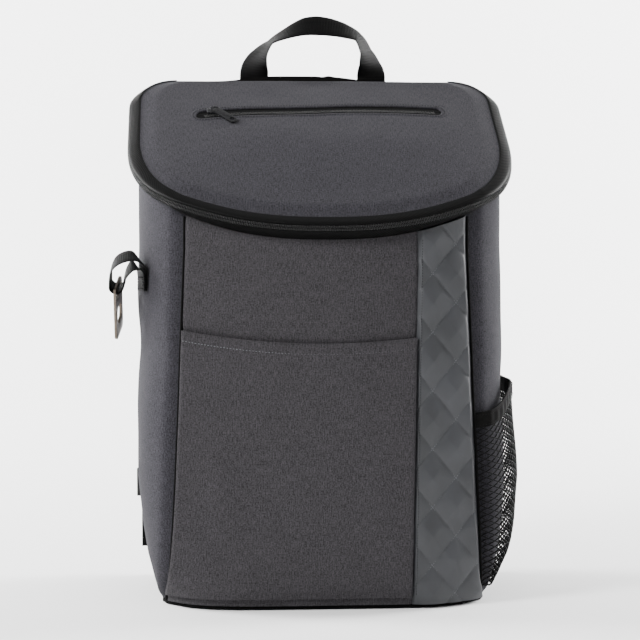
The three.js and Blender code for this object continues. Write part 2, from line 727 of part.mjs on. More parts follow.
// The bound seam that joins the lid's back edge to the back panel.
function backBinding() {
  const half = RIM_SECTION.half - BODY.backCorner;
  const low = BODY.height + GAP - BACK.binding;
  return box(-half, BACK_Y + GAP, low, 2 * half, BACK.bindingDepth, BACK.binding);
}

/** The left side's plan point at a height and a depth y. */
function leftSideAt(z, y) {
  const path = sidePath(sectionAt(z));
  const steps = 160;
  const plans = Array.from({ length: steps + 1 }, (_, i) => sideAt(path, i / steps, -1));
  return plans.find((plan) => plan.point.y <= y);
}

// The loop's sewn end lies flat against the side.
const LOOP_SEAT = leftSideAt(LOOP.top - LOOP.sewn, LOOP.y);
const LOOP_TURN = Math.asin(-LOOP_SEAT.outward.y);
const LOOP_X = LOOP_SEAT.point.x;
const LOOP_SEWN = vec(0, LOOP.y, LOOP.top - LOOP.sewn / 2);
const LOOP_LEAN = new THREE.Matrix4()
  .makeTranslation(LOOP_SEWN)
  .multiply(new THREE.Matrix4().makeRotationX(THREE.MathUtils.degToRad(LOOP.lean)))
  .multiply(new THREE.Matrix4().makeTranslation(LOOP_SEWN.clone().negate()));

/** The side loop: sewn to the side, over the top, down through the opener's slot and back again. */
function openerLoop() {
  const steps = 38;
  const thick = LOOP.thickness;
  const free = LOOP_LINE.map(({ out, down }) =>
    vec(LOOP_X - out * LOOP.out, LOOP.y, LOOP.top - down * LOOP.drop).applyMatrix4(LOOP_LEAN),
  );
  const off = LOOP.bulge + GAP + thick / 2;
  const under = [LOOP.sewn, LOOP.sewn / 2].map((down) => raised(LOOP_SEAT, LOOP.top - down, off));
  const over = [LOOP.sewn * 0.6, LOOP.sewn].map((down) =>
    raised(LOOP_SEAT, LOOP.top - down, off + thick + GAP),
  );
  const points = [...under, ...free, ...over];
  const curve = new THREE.CatmullRomCurve3(points, false, "centripetal");
  const across = (t) => {
    const toEnd = Math.min(t, 1 - t) * (points.length - 1);
    const last = under.length - 1;
    const lean = THREE.MathUtils.degToRad(LOOP.lean) * smoothstep(toEnd, last, last + 2);
    const foldTurn = THREE.MathUtils.degToRad(LOOP.foldTurn);
    const turn = lerp(LOOP_TURN, -foldTurn, smoothstep(toEnd, last, last + 5));
    return vec(-Math.sin(turn) * Math.cos(lean), Math.cos(turn) * Math.cos(lean), Math.sin(lean));
  };
  return strip(curve, steps, across, () => LOOP.width, thick);
}

// The opener hangs with the bar over its slot in the loop's fold, turned and tilted a little in it.
const OPENER_TILT = THREE.MathUtils.degToRad(OPENER.tilt);
const OPENER_RISE =
  Math.hypot(OPENER.bar, OPENER.plate) / 2 + (LOOP.width / 2) * Math.sin(Math.abs(OPENER_TILT));
const OPENER_PIVOT = vec(
  LOOP_X - LOOP.out + LOOP.fold / 2,
  LOOP.y,
  LOOP.top - LOOP.drop + LOOP.thickness / 2 + 4 * GAP + OPENER_RISE,
);

/** The bottle opener: a steel tag with a long slot for the loop and a wide hole for the cap. */
function bottleOpener() {
  const { width, length, plate, corner, slot, slotTall, slotRound, bar, turn } = OPENER;
  const { hole, holeTall, holeRound, holeDown } = OPENER;
  const rect = (left, top, wide, tall, round) => {
    const path = new THREE.Shape();
    const [right, low] = [left + wide, top - tall];
    path.absarc(right - round, top - round, round, 0, Math.PI / 2);
    path.absarc(left + round, top - round, round, Math.PI / 2, Math.PI);
    path.absarc(left + round, low + round, round, Math.PI, 1.5 * Math.PI);
    path.absarc(right - round, low + round, round, 1.5 * Math.PI, 2 * Math.PI);
    path.closePath();
    return path;
  };
  const tag = rect(-width / 2, bar / 2, width, length, corner);
  tag.holes.push(rect(-slot / 2, -bar / 2, slot, slotTall, slotRound));
  tag.holes.push(rect(-hole / 2, bar / 2 - holeDown, hole, holeTall, holeRound));
  const shape = new THREE.ExtrudeGeometry(tag, { depth: plate, bevelEnabled: false, curveSegments: 3 });
  shape.translate(0, 0, -plate / 2);
  shape.rotateZ(OPENER_TILT);
  shape.rotateX(Math.PI / 2);
  shape.rotateZ(THREE.MathUtils.degToRad(-90 + turn));
  shape.translate(OPENER_PIVOT.x, OPENER_PIVOT.y, OPENER_PIVOT.z);
  return shape.applyMatrix4(LOOP_LEAN);
}

// Net pocket

/** Height of the net pocket's mouth at a share from the back seam: it dips towards the front. */
const mouthHeight = (t) => NET.top - NET.frontDrop * smoothstep(t, 0.6, 1);

/** How far the net stands off the side panel, for shares round the side and up the net. */
function netStand(t, up) {
  const round = Math.sin(Math.PI * Math.min(1, t * 1.02 + 0.01)) ** 0.5;
  const full = lerp(NET.stand, NET.mouthStand, smoothstep(up, 0.55, 1)) * smoothstep(up, -0.12, 0.3);
  return NET.sewnStand + (full - NET.sewnStand) * round;
}

/** A point over the right side panel, out from its outline by the given distance. */
function overSide(t, z, out) {
  const path = sidePath(sectionAt(z));
  const length = path.getLength();
  const share = lerp(NET.backEdge, NET.frontEdge, t);
  return raised(sideAt(path, share, 1), z, out - seamTurn((1 - share) * length));
}

function netPocket() {
  const face = (thick) => (a, b) => {
    const t = 1 - a;
    const z = lerp(NET.bottom, mouthHeight(t) - BINDING.tall - GAP, b);
    return overSide(t, z, GAP + netStand(t, b) + thick);
  };
  return net(NET.columns, NET.rows, face(NET.cord), face(0), NET.open);
}

function netBinding() {
  const face = (thick) => (a, b) => {
    const t = 1 - a;
    const z = mouthHeight(t) - BINDING.tall * (1 - b);
    return overSide(t, z, GAP + netStand(t, 1) + thick);
  };
  return wall(18, 1, face(BINDING.thickness), face(0));
}

// Shoulder straps

const STRAP_Y = BACK_Y + 3 * GAP + YOKE.thickness + STRAP.thickness / 2;

/** The padded strap's middle line, from the yoke out and down; side is -1 on the left. */
function strapCurve(side) {
  const { top, length, rootX, endX, hang } = STRAP;
  const points = STRAP_LINE.map(({ down, out }) => {
    const x = lerp(rootX, endX, down ** 1.25);
    return vec(side * x, STRAP_Y + out * hang, top - length * down);
  });
  return new THREE.CatmullRomCurve3(points);
}

function shoulderStrap(side) {
  const curve = strapCurve(side);
  const width = (t) => lerp(STRAP.width, STRAP.endWidth, smoothstep(t, 0.3, 0.95));
  return strip(curve, 16, () => vec(1, 0, 0), width, STRAP.thickness);
}

/** The yoke: a cloth piece sewn over the straps' upper ends. */
function strapYoke() {
  return box(-YOKE.width / 2, BACK_Y + GAP, YOKE.z - YOKE.tall / 2, YOKE.width, YOKE.thickness, YOKE.tall);
}

/** The ladder buckle: a frame with two slots. */
function strapLock(side) {
  const { width, tall, depth, bar, x, z } = LOCK;
  const frame = new THREE.Shape([
    new THREE.Vector2(-width / 2, -tall / 2),
    new THREE.Vector2(width / 2, -tall / 2),
    new THREE.Vector2(width / 2, tall / 2),
    new THREE.Vector2(-width / 2, tall / 2),
  ]);
  const open = width / 2 - bar;
  const slotTall = (tall - 3 * bar) / 2;
  [-tall / 2 + bar, bar / 2].forEach((low) => {
    const slot = new THREE.Path([
      new THREE.Vector2(-open, low),
      new THREE.Vector2(-open, low + slotTall),
      new THREE.Vector2(open, low + slotTall),
      new THREE.Vector2(open, low),
    ]);
    frame.holes.push(slot);
  });
  const shape = new THREE.ExtrudeGeometry(frame, { depth, bevelEnabled: false });
  shape.translate(0, 0, -depth / 2);
  shape.rotateX(Math.PI / 2);
  return shape.translate(side * x, LOCK_Y, z);
}

const LOCK_Y = BACK_Y + LOCK.off;
const WEB = WEBBING.width - STRAP_WEB.narrower;
const TURN = Math.hypot(LOCK.depth, LOCK.bar) / 2 + GAP + WEBBING.thickness / 2;

/** Five points of webbing round a buckle's bar at height z, from its outer side; up is 1 over the bar. */
function roundBar(side, z, up) {
  return [0, 45, 90, 135, 180].map((degrees) => {
    const angle = THREE.MathUtils.degToRad(degrees);
    return vec(side * LOCK.x, LOCK_Y + TURN * Math.cos(angle), z + up * TURN * Math.sin(angle));
  });
}

/** Strap webbing along a line of points, its width across the bag. */
function webbingAlong(points) {
  const steps = 25;
  const curve = new THREE.CatmullRomCurve3(points, false, "centripetal");
  return strip(curve, steps, () => vec(1, 0, 0), () => WEB, WEBBING.thickness);
}

/** The webbing tab that hangs the buckle on the padded strap's end: a flat loop round its top bar. */
function strapTab(side) {
  const strap = strapCurve(side);
  const off = STRAP.thickness / 2 + 2 * GAP + WEBBING.thickness / 2;
  const onStrap = (t) => {
    const tangent = strap.getTangent(t);
    return strap.getPoint(t).add(vec(0, -tangent.z, tangent.y).normalize().multiplyScalar(off));
  };
  const top = LOCK.z + LOCK.tall / 2;
  const points = [
    onStrap(0.92),
    onStrap(0.96),
    onStrap(1),
    vec(side * LOCK.x, LOCK_Y + TURN, top + 2.5 * LOCK.bar),
    ...roundBar(side, top - LOCK.bar / 2, -1),
    vec(side * LOCK.x, LOCK_Y - TURN, top + 2 * LOCK.bar),
  ];
  return webbingAlong(points);
}

/** The lower webbing: from the base anchor up behind the buckle, round its lower bar and down. */
function strapWebbing(side) {
  const low = LOCK.z - LOCK.tall / 2;
  const anchorY = BACK_Y + ANCHOR.thickness + 3 * GAP + WEBBING.thickness / 2;
  const outY = LOCK_Y + TURN + STRAP_WEB.apart;
  const points = [
    vec(side * LOCK.x, outY, low - STRAP_WEB.tail),
    vec(side * LOCK.x, outY, low - STRAP_WEB.tail * 0.4),
    ...roundBar(side, low + LOCK.bar / 2, 1),
    vec(side * LOCK.x, LOCK_Y - TURN, low - 1.7 * LOCK.bar),
    vec(side * (ANCHOR.x + STRAP_WEB.bend), anchorY, ANCHOR.z + ANCHOR.tall * 0.4),
    vec(side * ANCHOR.x, anchorY, ANCHOR.z - ANCHOR.tall * 0.3),
  ];
  return webbingAlong(points);
}

/** The cloth tab in the base seam that holds the lower webbing. */
function strapAnchor(side) {
  const { x, z, width, tall, thickness } = ANCHOR;
  return box(side * x - width / 2, BACK_Y + GAP, z - tall / 2, width, thickness, tall);
}

// Assembly

const FINISH = {
  cloth: { color: 0x5c5b5f, roughness: 0.95, metalness: 0 },
  coated: { color: 0x55575a, roughness: 0.55, metalness: 0 },
  lining: { color: 0x1f1f21, roughness: 0.9, metalness: 0 },
  tape: { color: 0x232223, roughness: 0.85, metalness: 0 },
  webbing: { color: 0x131313, roughness: 0.8, metalness: 0 },
  net: { color: 0x181818, roughness: 0.85, metalness: 0 },
  plastic: { color: 0x141414, roughness: 0.45, metalness: 0 },
  gunmetal: { color: 0x3a3a3c, roughness: 0.35, metalness: 0.9 },
  steel: { color: 0x8d8780, roughness: 0.3, metalness: 1 },
};

const backpack = new THREE.Group();

function piece(name, geometry, finish) {
  const mesh = new THREE.Mesh(geometry, new THREE.MeshStandardMaterial(FINISH[finish]));
  mesh.name = name;
  backpack.add(mesh);
}

piece("front_panel", frontPanel(), "cloth");
piece("quilted_panel", quiltedPanel(), "coated");
piece("front_pocket", frontPocket(), "cloth");
piece("gusset_left", gusset(-1), "cloth");
piece("gusset_right", gusset(1), "cloth");
piece("back_panel", backPanel(), "lining");
piece("base_panel", basePanel(), "lining");

piece("lid_panel", lidPanel(), "cloth");
piece("lid_zip_tape", lidZipTape(), "tape");
piece("main_zip_teeth", mainZipTeeth(), "plastic");
piece("body_zip_tape", bodyZipTape(), "tape");
piece("main_zip_slider", mainZipSlider(), "gunmetal");
piece("back_binding", backBinding(), "tape");

piece("pocket_zip_tape", pocketZipTape(), "tape");
piece("pocket_zip_teeth", pocketZipTeeth(), "plastic");
piece("pocket_zip_slider", pocketZipSlider(), "gunmetal");
piece("pocket_zip_pull", pocketZipPull(), "gunmetal");

piece("carry_handle", carryHandle(), "webbing");
piece("opener_loop", openerLoop(), "webbing");
piece("bottle_opener", bottleOpener(), "steel");

piece("net_pocket", netPocket(), "net");
piece("net_binding", netBinding(), "webbing");

piece("strap_yoke", strapYoke(), "lining");
for (const [word, side] of [["left", -1], ["right", 1]]) {
  piece(`shoulder_strap_${word}`, shoulderStrap(side), "lining");
  piece(`strap_tab_${word}`, strapTab(side), "webbing");
  piece(`strap_buckle_${word}`, strapLock(side), "plastic");
  piece(`strap_webbing_${word}`, strapWebbing(side), "webbing");
  piece(`strap_anchor_${word}`, strapAnchor(side), "lining");
}

export default backpack;
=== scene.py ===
"""Looks of a cooler backpack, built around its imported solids.

The sizes are in millimetres and become metres where a mesh is made. The front faces -Y, +X is to the
right seen from the front and +Z is up, as in the solids.
"""

import logging
import math
from collections.abc import Callable, Sequence
from dataclasses import dataclass, field
from enum import Enum

import bmesh
import bpy
import numpy as np
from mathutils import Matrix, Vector


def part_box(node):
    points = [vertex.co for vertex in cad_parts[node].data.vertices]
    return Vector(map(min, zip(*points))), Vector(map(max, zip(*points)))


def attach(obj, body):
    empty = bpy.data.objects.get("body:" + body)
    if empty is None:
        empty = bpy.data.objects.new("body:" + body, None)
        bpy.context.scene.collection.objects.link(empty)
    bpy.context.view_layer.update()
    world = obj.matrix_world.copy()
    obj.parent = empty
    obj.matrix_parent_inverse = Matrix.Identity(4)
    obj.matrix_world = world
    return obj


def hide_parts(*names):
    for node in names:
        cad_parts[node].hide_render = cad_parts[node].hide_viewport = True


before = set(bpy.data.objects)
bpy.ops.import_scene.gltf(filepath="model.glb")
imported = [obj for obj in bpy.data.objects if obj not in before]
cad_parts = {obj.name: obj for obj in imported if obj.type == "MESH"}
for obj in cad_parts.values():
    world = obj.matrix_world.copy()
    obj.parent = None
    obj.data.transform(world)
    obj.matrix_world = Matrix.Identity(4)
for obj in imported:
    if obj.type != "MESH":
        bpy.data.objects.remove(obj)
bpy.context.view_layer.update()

MM = 0.001
LOG = logging.getLogger("backpack")

Array = np.ndarray
Place = tuple[float, float, float]
Piece = bpy.types.Object
Tree = bpy.types.NodeTree
Node = bpy.types.Node
Socket = bpy.types.NodeSocket


class Side(Enum):
    """Which side of the bag a piece is on, seen from the front."""

    LEFT = -1
    RIGHT = 1

    @property
    def word(self) -> str:
        """The side's name in a node's name."""
        return self.name.lower()


class Body(Enum):
    """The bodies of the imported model."""

    BAG = "bag"
    OPENER = "opener"
    ZIP_PULL = "zip_pull"


class Soft(Enum):
    """What kind of soft piece it is: padded or neither."""

    PADDED = "padded"
    NEITHER = "neither"


def ease(value: Array | float, low: float, high: float) -> Array:
    """A smooth step from 0 at low to 1 at high."""
    share = np.clip((np.asarray(value, float) - low) / (high - low), 0.0, 1.0)
    return share * share * (3 - 2 * share)


def ripple(u: Array, v: Array, size: float, seed: int) -> Array:
    """A soft uneven swell over a surface.

    Args:
        u: Places along the surface, in millimetres.
        v: Places up the surface, in millimetres.
        size: The length of its waves, in millimetres.
        seed: Which of the swells.

    Returns:
        Heights from about -1 to 1.
    """
    random = np.random.default_rng(seed)
    total = np.zeros(np.broadcast(u, v).shape)
    for _ in range(7):
        angle, phase, stretch = random.uniform(0, 2 * math.pi, 3)
        turn = 2 * math.pi / (size * (1 + stretch / 5))
        total += np.sin(turn * (u * math.cos(angle) + v * math.sin(angle)) + phase)
    return total / 3.5


def linear(code: str) -> tuple[float, float, float, float]:
    """An sRGB hex colour as a linear colour with full alpha."""
    parts = [int(code[i : i + 2], 16) / 255 for i in (1, 3, 5)]
    curve = [p / 12.92 if p <= 0.04045 else ((p + 0.055) / 1.055) ** 2.4 for p in parts]
    return (curve[0], curve[1], curve[2], 1.0)


def add(tree: Tree, kind: str, inputs: dict | None = None, **settings: object) -> Node:
    """Adds a node with its settings, values and links.

    Args:
        tree: The tree that takes the node.
        kind: The node's type.
        inputs: Values, sockets or nodes for the inputs, by name or place.
        settings: Properties of the node.

    Returns:
        The new node.
    """
    node = tree.nodes.new(kind)
    for key, value in settings.items():
        setattr(node, key, value)
    for key, value in (inputs or {}).items():
        socket = node.inputs[key]
        if isinstance(value, Node):
            tree.links.new(value.outputs[0], socket)
        elif isinstance(value, Socket):
            tree.links.new(value, socket)
        else:
            socket.default_value = value
    return node


# Finishes


@dataclass(frozen=True)
class Finish:
    """What every finish has: a name, a colour and how rough it is."""

    name: str
    colour: str
    rough: float
    shine: float = 0.5

    def material(self) -> bpy.types.Material:
        """The finish's material, made once."""
        made = bpy.data.materials.get(self.name)
        if made is None:
            made = bpy.data.materials.new(self.name)
            made.use_nodes = True
            tree = made.node_tree
            tree.nodes.clear()
            inputs = {"Base Color": linear(self.colour), "Roughness": self.rough}
            inputs["Specular IOR Level"] = self.shine
            shader = add(tree, "ShaderNodeBsdfPrincipled", inputs)
            add(tree, "ShaderNodeOutputMaterial", {"Surface": shader})
            self.dress(tree, shader)
        return made

    def dress(self, tree: Tree, shader: Node) -> None:
        """Adds what the finish shows to its plain shader."""

    def places(self, tree: Tree, across_mm: float, along_mm: float) -> Socket:
        """Places on the piece's own UV map, in spans of the given sizes."""
        uv = add(tree, "ShaderNodeUVMap", uv_map="cloth")
        scale = (1 / (across_mm * MM), 1 / (along_mm * MM), 1.0)
        return add(tree, "ShaderNodeMapping", {"Vector": uv, "Scale": scale}).outputs[0]

    def mixed(self, tree: Tree, share: Socket, low: str, high: str) -> Socket:
        """Two colours mixed by a share from 0 to 1.

        Args:
            tree: The tree that takes the nodes.
            share: Share of the second colour.
            low: Colour at 0.
            high: Colour at 1.

        Returns:
            The mixed colour.
        """
        node = add(tree, "ShaderNodeMix", data_type="RGBA")
        tree.links.new(share, node.inputs[0])
        node.inputs[6].default_value = linear(low)
        node.inputs[7].default_value = linear(high)
        return node.outputs[2]

    def spread(self, tree: Tree, value: Socket, low: float, high: float) -> Socket:
        """A value stretched so that low becomes 0 and high becomes 1."""
        inputs = {"Value": value, "From Min": low, "From Max": high}
        return add(tree, "ShaderNodeMapRange", inputs).outputs[0]

    def noise(self, tree: Tree, places: Socket, detail: float, rough: float = 0.5) -> Socket:
        """A noise pattern over places that are given in its own spans."""
        inputs = {"Vector": places, "Scale": 1.0, "Detail": detail, "Roughness": rough}
        return add(tree, "ShaderNodeTexNoise", inputs).outputs["Fac"]

    def roughened(self, tree: Tree, shader: Node, value: Socket, less: float, more: float) -> None:
        """Spreads the shader's roughness about its own value by a pattern."""
        inputs = {"Value": value, "To Min": self.rough - less, "To Max": self.rough + more}
        tree.links.new(add(tree, "ShaderNodeMapRange", inputs).outputs[0], shader.inputs["Roughness"])

    def bumped(self, tree: Tree, shader: Node, height: Socket, depth_mm: float) -> None:
        """Gives the shader a bump of the given depth."""
        bump = add(tree, "ShaderNodeBump", {"Height": height, "Distance": depth_mm * MM, "Strength": 0.7})
        tree.links.new(bump.outputs[0], shader.inputs["Normal"])


@dataclass(frozen=True)
class MelangeCloth(Finish):
    """Polyester canvas woven of light and dark yarn: grey with short upright slubs and a dull sheen.

    Its threads are about 0.45 mm apart, and are drawn at twice that so that they show.
    """

    dark: str = "#171619"
    thread_mm: float = 0.75
    slub_mm: float = 6.0
    wide_share: float = 0.14

    def dress(self, tree: Tree, shader: Node) -> None:
        """Adds the two yarns, the slubs and the weave.

        Args:
            tree: The tree that takes the nodes.
            shader: The material's main shader.
        """
        slubs = self.noise(tree, self.places(tree, self.thread_mm * 1.1, self.slub_mm), 2.0, 0.65)
        flecks = self.noise(tree, self.places(tree, self.thread_mm * 1.4, self.thread_mm * 1.7), 1.0)
        wide = self.noise(tree, self.places(tree, 22, 30), 2.0)
        both = add(tree, "ShaderNodeMath", {0: slubs, 1: flecks}, operation="ADD")
        summed = {0: wide, 1: self.wide_share, 2: both}
        all_three = add(tree, "ShaderNodeMath", summed, operation="MULTIPLY_ADD")
        share = self.spread(tree, all_three.outputs[0], 0.72, 1.42)
        tree.links.new(self.mixed(tree, share, self.dark, self.colour), shader.inputs["Base Color"])
        thread_places = self.places(tree, self.thread_mm, self.thread_mm)
        threads = {"Vector": thread_places, "Scale": 1.0, "Randomness": 0.35}
        weave = add(tree, "ShaderNodeTexVoronoi", threads, distance="CHEBYCHEV")
        self.bumped(tree, shader, weave.outputs["Distance"], -0.15)
        shader.inputs["Sheen Weight"].default_value = 0.02
        shader.inputs["Sheen Roughness"].default_value = 0.6


@dataclass(frozen=True)
class CoatedCloth(Finish):
    """Polyurethane-coated cloth, embossed with a fine grain: smooth, matt and cool grey."""

    grain_mm: float = 1.1

    def dress(self, tree: Tree, shader: Node) -> None:
        """Adds the embossed grain and a little cloudiness.

        Args:
            tree: The tree that takes the nodes.
            shader: The material's main shader.
        """
        places = self.places(tree, self.grain_mm, self.grain_mm)
        grain = add(tree, "ShaderNodeTexVoronoi", {"Vector": places, "Scale": 1.0})
        self.bumped(tree, shader, grain.outputs["Distance"], 0.05)
        share = self.spread(tree, self.noise(tree, self.places(tree, 30, 40), 3.0), 0.3, 0.7)
        tree.links.new(self.mixed(tree, share, "#27282a", self.colour), shader.inputs["Base Color"])
        self.roughened(tree, shader, grain.outputs["Distance"], 0.05, 0.06)


@dataclass(frozen=True)
class WovenTape(Finish):
    """Flat black polyester tape, woven in a fine herringbone, as on a zip or a bound seam."""

    rib_mm: float = 1.2

    def dress(self, tree: Tree, shader: Node) -> None:
        """Adds the fine ribs of the weave and its uneven dye.

        Args:
            tree: The tree that takes the nodes.
            shader: The material's main shader.
        """
        places = self.places(tree, self.rib_mm, self.rib_mm)
        wave = {"Vector": places, "Scale": 0.32, "Distortion": 1.2, "Detail": 1.0}
        ribs = add(tree, "ShaderNodeTexWave", wave, bands_direction="DIAGONAL")
        self.bumped(tree, shader, ribs.outputs["Fac"], 0.12)
        share = self.spread(tree, self.noise(tree, self.places(tree, 3, 3), 3.0), 0.3, 0.75)
        tree.links.new(self.mixed(tree, share, "#020202", self.colour), shader.inputs["Base Color"])


@dataclass(frozen=True)
class Moulded(Finish):
    """Injection-moulded or drawn plastic, black, with a fine spark-eroded grain."""

    grain_mm: float = 0.6

    def dress(self, tree: Tree, shader: Node) -> None:
        """Adds the grain to its roughness and bump.

        Args:
            tree: The tree that takes the nodes.
            shader: The material's main shader.
        """
        place = add(tree, "ShaderNodeTexCoord").outputs["Object"]
        pattern = {"Vector": place, "Scale": 1 / (self.grain_mm * MM), "Detail": 2.0}
        grain = add(tree, "ShaderNodeTexNoise", pattern).outputs["Fac"]
        self.bumped(tree, shader, grain, 0.03)
        self.roughened(tree, shader, grain, 0.08, 0.1)


@dataclass(frozen=True)
class Metal(Finish):
    """A metal with a drawn or cast skin; brush is how far its marks are drawn out along Z."""

    mark_mm: float = 0.5
    brush: float = 1.0
    worn: str = "#8f8f90"

    def dress(self, tree: Tree, shader: Node) -> None:
        """Adds the marks and the lighter wear.

        Args:
            tree: The tree that takes the nodes.
            shader: The material's main shader.
        """
        shader.inputs["Metallic"].default_value = 1.0
        place = add(tree, "ShaderNodeTexCoord").outputs["Object"]
        fine = 1 / (self.mark_mm * MM)
        mapped = add(tree, "ShaderNodeMapping", {"Vector": place, "Scale": (fine, fine, fine / self.brush)})
        marks = self.noise(tree, mapped.outputs[0], 4.0)
        self.bumped(tree, shader, marks, 0.02)
        self.roughened(tree, shader, marks, 0.1, 0.12)
        share = self.spread(tree, marks, 0.45, 0.8)
        tree.links.new(self.mixed(tree, share, self.colour, self.worn), shader.inputs["Base Color"])


@dataclass(frozen=True)
class AirMesh(Finish):
    """Knitted spacer fabric for the back and straps: black, with small round holes."""

    hole_mm: float = 2.6

    def dress(self, tree: Tree, shader: Node) -> None:
        """Adds the holes as dips, with painted shade in them.

        Args:
            tree: The tree that takes the nodes.
            shader: The material's main shader.
        """
        places = self.places(tree, self.hole_mm, self.hole_mm)
        holes = add(tree, "ShaderNodeTexVoronoi", {"Vector": places, "Scale": 1.0, "Randomness": 0.15})
        share = self.spread(tree, holes.outputs["Distance"], 0.18, 0.42)
        # The darker colour in the holes is painted shade.
        tree.links.new(self.mixed(tree, share, "#070708", self.colour), shader.inputs["Base Color"])
        self.bumped(tree, shader, share, 0.5)


MELANGE = MelangeCloth("melange_polyester_canvas", "#36353a", 0.92, 0.1)
# The front panel and pocket use a copy of the same canvas, a touch lighter than on the lid and sides: painted
# light.
MELANGE_FRONT_PAINTED_LIGHT = MelangeCloth("melange_canvas_front_painted_light", "#3a383b", 0.92, 0.12, dark="#191819")
COATED = CoatedCloth("polyurethane_coated_cloth", "#303134", 0.48, 0.3)
LINING = WovenTape("black_polyester_lining", "#080808", 0.85, 0.05, rib_mm=1.0)
ZIP_TAPE = WovenTape("woven_zip_tape", "#070707", 0.5, 0.09)
WEBBING = WovenTape("ribbed_polyester_webbing", "#040404", 0.55, 0.07, rib_mm=0.9)
ELASTIC = WovenTape("woven_elastic_binding", "#0b0a09", 0.7, 0.07, rib_mm=0.8)
NET_CORD = Moulded("knitted_polyester_net", "#040404", 0.6, 0.1)
THREAD_DARK = Moulded("spun_sewing_thread_dark", "#0f0f10", 0.8, 0.1)
THREAD_GREY = Moulded("spun_sewing_thread_grey", "#56585b", 0.8, 0.2)
COIL = Moulded("nylon_coil_zip", "#040404", 0.33, 0.4)
BUCKLE = Moulded("moulded_acetal_buckle", "#070707", 0.42, 0.3)
GUNMETAL = Metal("die_cast_zinc_gunmetal", "#2c2c2e", 0.34, worn="#6c6c6e")
STEEL = Metal("stamped_brushed_steel", "#5a524a", 0.34, mark_mm=0.35, brush=26.0, worn="#7c7268")
AIR_MESH = AirMesh("knitted_air_mesh", "#0e0e0f", 0.9, 0.1)


# Meshes


def link(name: str, mesh: bpy.types.Mesh) -> Piece:
    """Puts a mesh into the scene as an object at the origin."""
    piece = bpy.data.objects.new(name, mesh)
    bpy.context.scene.collection.objects.link(piece)
    return piece


def mesh_from(name: str, points: Array, faces: Sequence[Sequence[int]], uv: Array | None = None) -> Piece:
    """Makes an object from points in millimetres.

    Args:
        name: The piece's name.
        points: Rows of x, y and z.
        faces: Corners of each face, anticlockwise seen from outside.
        uv: Place of each point on the cloth, in millimetres.

    Returns:
        The object, smooth except at its sharp edges.
    """
    mesh = bpy.data.meshes.new(name)
    mesh.from_pydata((np.asarray(points, float) * MM).tolist(), [], [list(map(int, f)) for f in faces])
    if uv is not None:
        layer = mesh.uv_layers.new(name="cloth")
        loops = np.zeros(len(mesh.loops), np.int32)
        mesh.loops.foreach_get("vertex_index", loops)
        layer.data.foreach_set("uv", (np.asarray(uv, float)[loops] * MM).astype(np.float32).ravel())
    mesh.shade_smooth()
    mesh.set_sharp_from_angle(angle=math.radians(48))
    return link(name, mesh)


def finished(
    piece: Piece,
    finish: Finish,
    body: Body,
    nodes: Sequence[str] = (),
    slot: str | None = None,
    soft: Soft = Soft.NEITHER,
    fill: float = 0.5,
    lining: Finish | None = None,
) -> Piece:
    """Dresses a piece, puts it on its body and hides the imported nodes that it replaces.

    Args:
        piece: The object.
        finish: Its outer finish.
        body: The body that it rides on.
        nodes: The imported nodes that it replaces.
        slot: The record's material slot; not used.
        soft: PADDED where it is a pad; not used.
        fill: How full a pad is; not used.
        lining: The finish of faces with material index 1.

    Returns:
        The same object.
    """
    if not piece.data.materials:
        piece.data.materials.append(finish.material())
        if lining is not None:
            piece.data.materials.append(lining.material())
    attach(piece, body.value)
    if nodes:
        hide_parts(*nodes)
    return piece


def cloth_wall(name: str, outer: Array, inner: Array, uv: Array) -> Piece:
    """A closed wall between two grids of points.

    Args:
        name: The piece's name.
        outer: Points of the outer face, rows upwards and columns to the right seen from outside.
        inner: Points of the inner face on the same grid.
        uv: Place of each grid point on the cloth.

    Returns:
        The object; its inner faces have material index 1.
    """
    rows, columns = outer.shape[:2]
    points = np.concatenate([outer.reshape(-1, 3), inner.reshape(-1, 3)])
    places = np.concatenate([uv.reshape(-1, 2), uv.reshape(-1, 2)])
    index = np.arange(rows * columns).reshape(rows, columns)
    behind = index + rows * columns
    front = np.stack([index[:-1, :-1], index[:-1, 1:], index[1:, 1:], index[1:, :-1]], -1).reshape(-1, 4)
    back = np.stack([behind[:-1, :-1], behind[1:, :-1], behind[1:, 1:], behind[:-1, 1:]], -1).reshape(-1, 4)
    ring = np.concatenate([index[0, :], index[1:, -1], index[-1, -2::-1], index[-2:0:-1, 0]])
    after = np.roll(ring, -1)
    far = rows * columns
    edge = np.stack([ring + far, after + far, after, ring], -1)
    piece = mesh_from(name, points, np.concatenate([front, edge, back]).tolist(), places)
    inside = np.zeros(len(piece.data.polygons), np.int32)
    inside[len(front) + len(edge) :] = 1
    piece.data.polygons.foreach_set("material_index", inside)
    return piece


def bevelled_copy(node: str, width: float, segments: int) -> Piece:
    """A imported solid's copy with its loose faces merged and its sharp edges rounded.

    Args:
        node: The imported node.
        width: Width of the rounding, in millimetres.
        segments: Steps in the rounding.

    Returns:
        The new object, with a box-projected cloth map.
    """
    form = bmesh.new()
    form.from_mesh(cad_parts[node].data)
    bmesh.ops.remove_doubles(form, verts=form.verts, dist=1e-6)
    bmesh.ops.dissolve_limit(form, angle_limit=math.radians(1), verts=form.verts, edges=form.edges)
    sharp = [e for e in form.edges if len(e.link_faces) == 2 and e.calc_face_angle(0) > math.radians(35)]
    rounding = {"offset": width * MM, "segments": segments, "profile": 0.6}
    bmesh.ops.bevel(form, geom=sharp, affect="EDGES", clamp_overlap=True, **rounding)
    mesh = bpy.data.meshes.new(f"{node}_dressed")
    form.to_mesh(mesh)
    form.free()
    box_projected(mesh)
    mesh.shade_smooth()
    mesh.set_sharp_from_angle(angle=math.radians(40))
    return link(f"{node}_dressed", mesh)


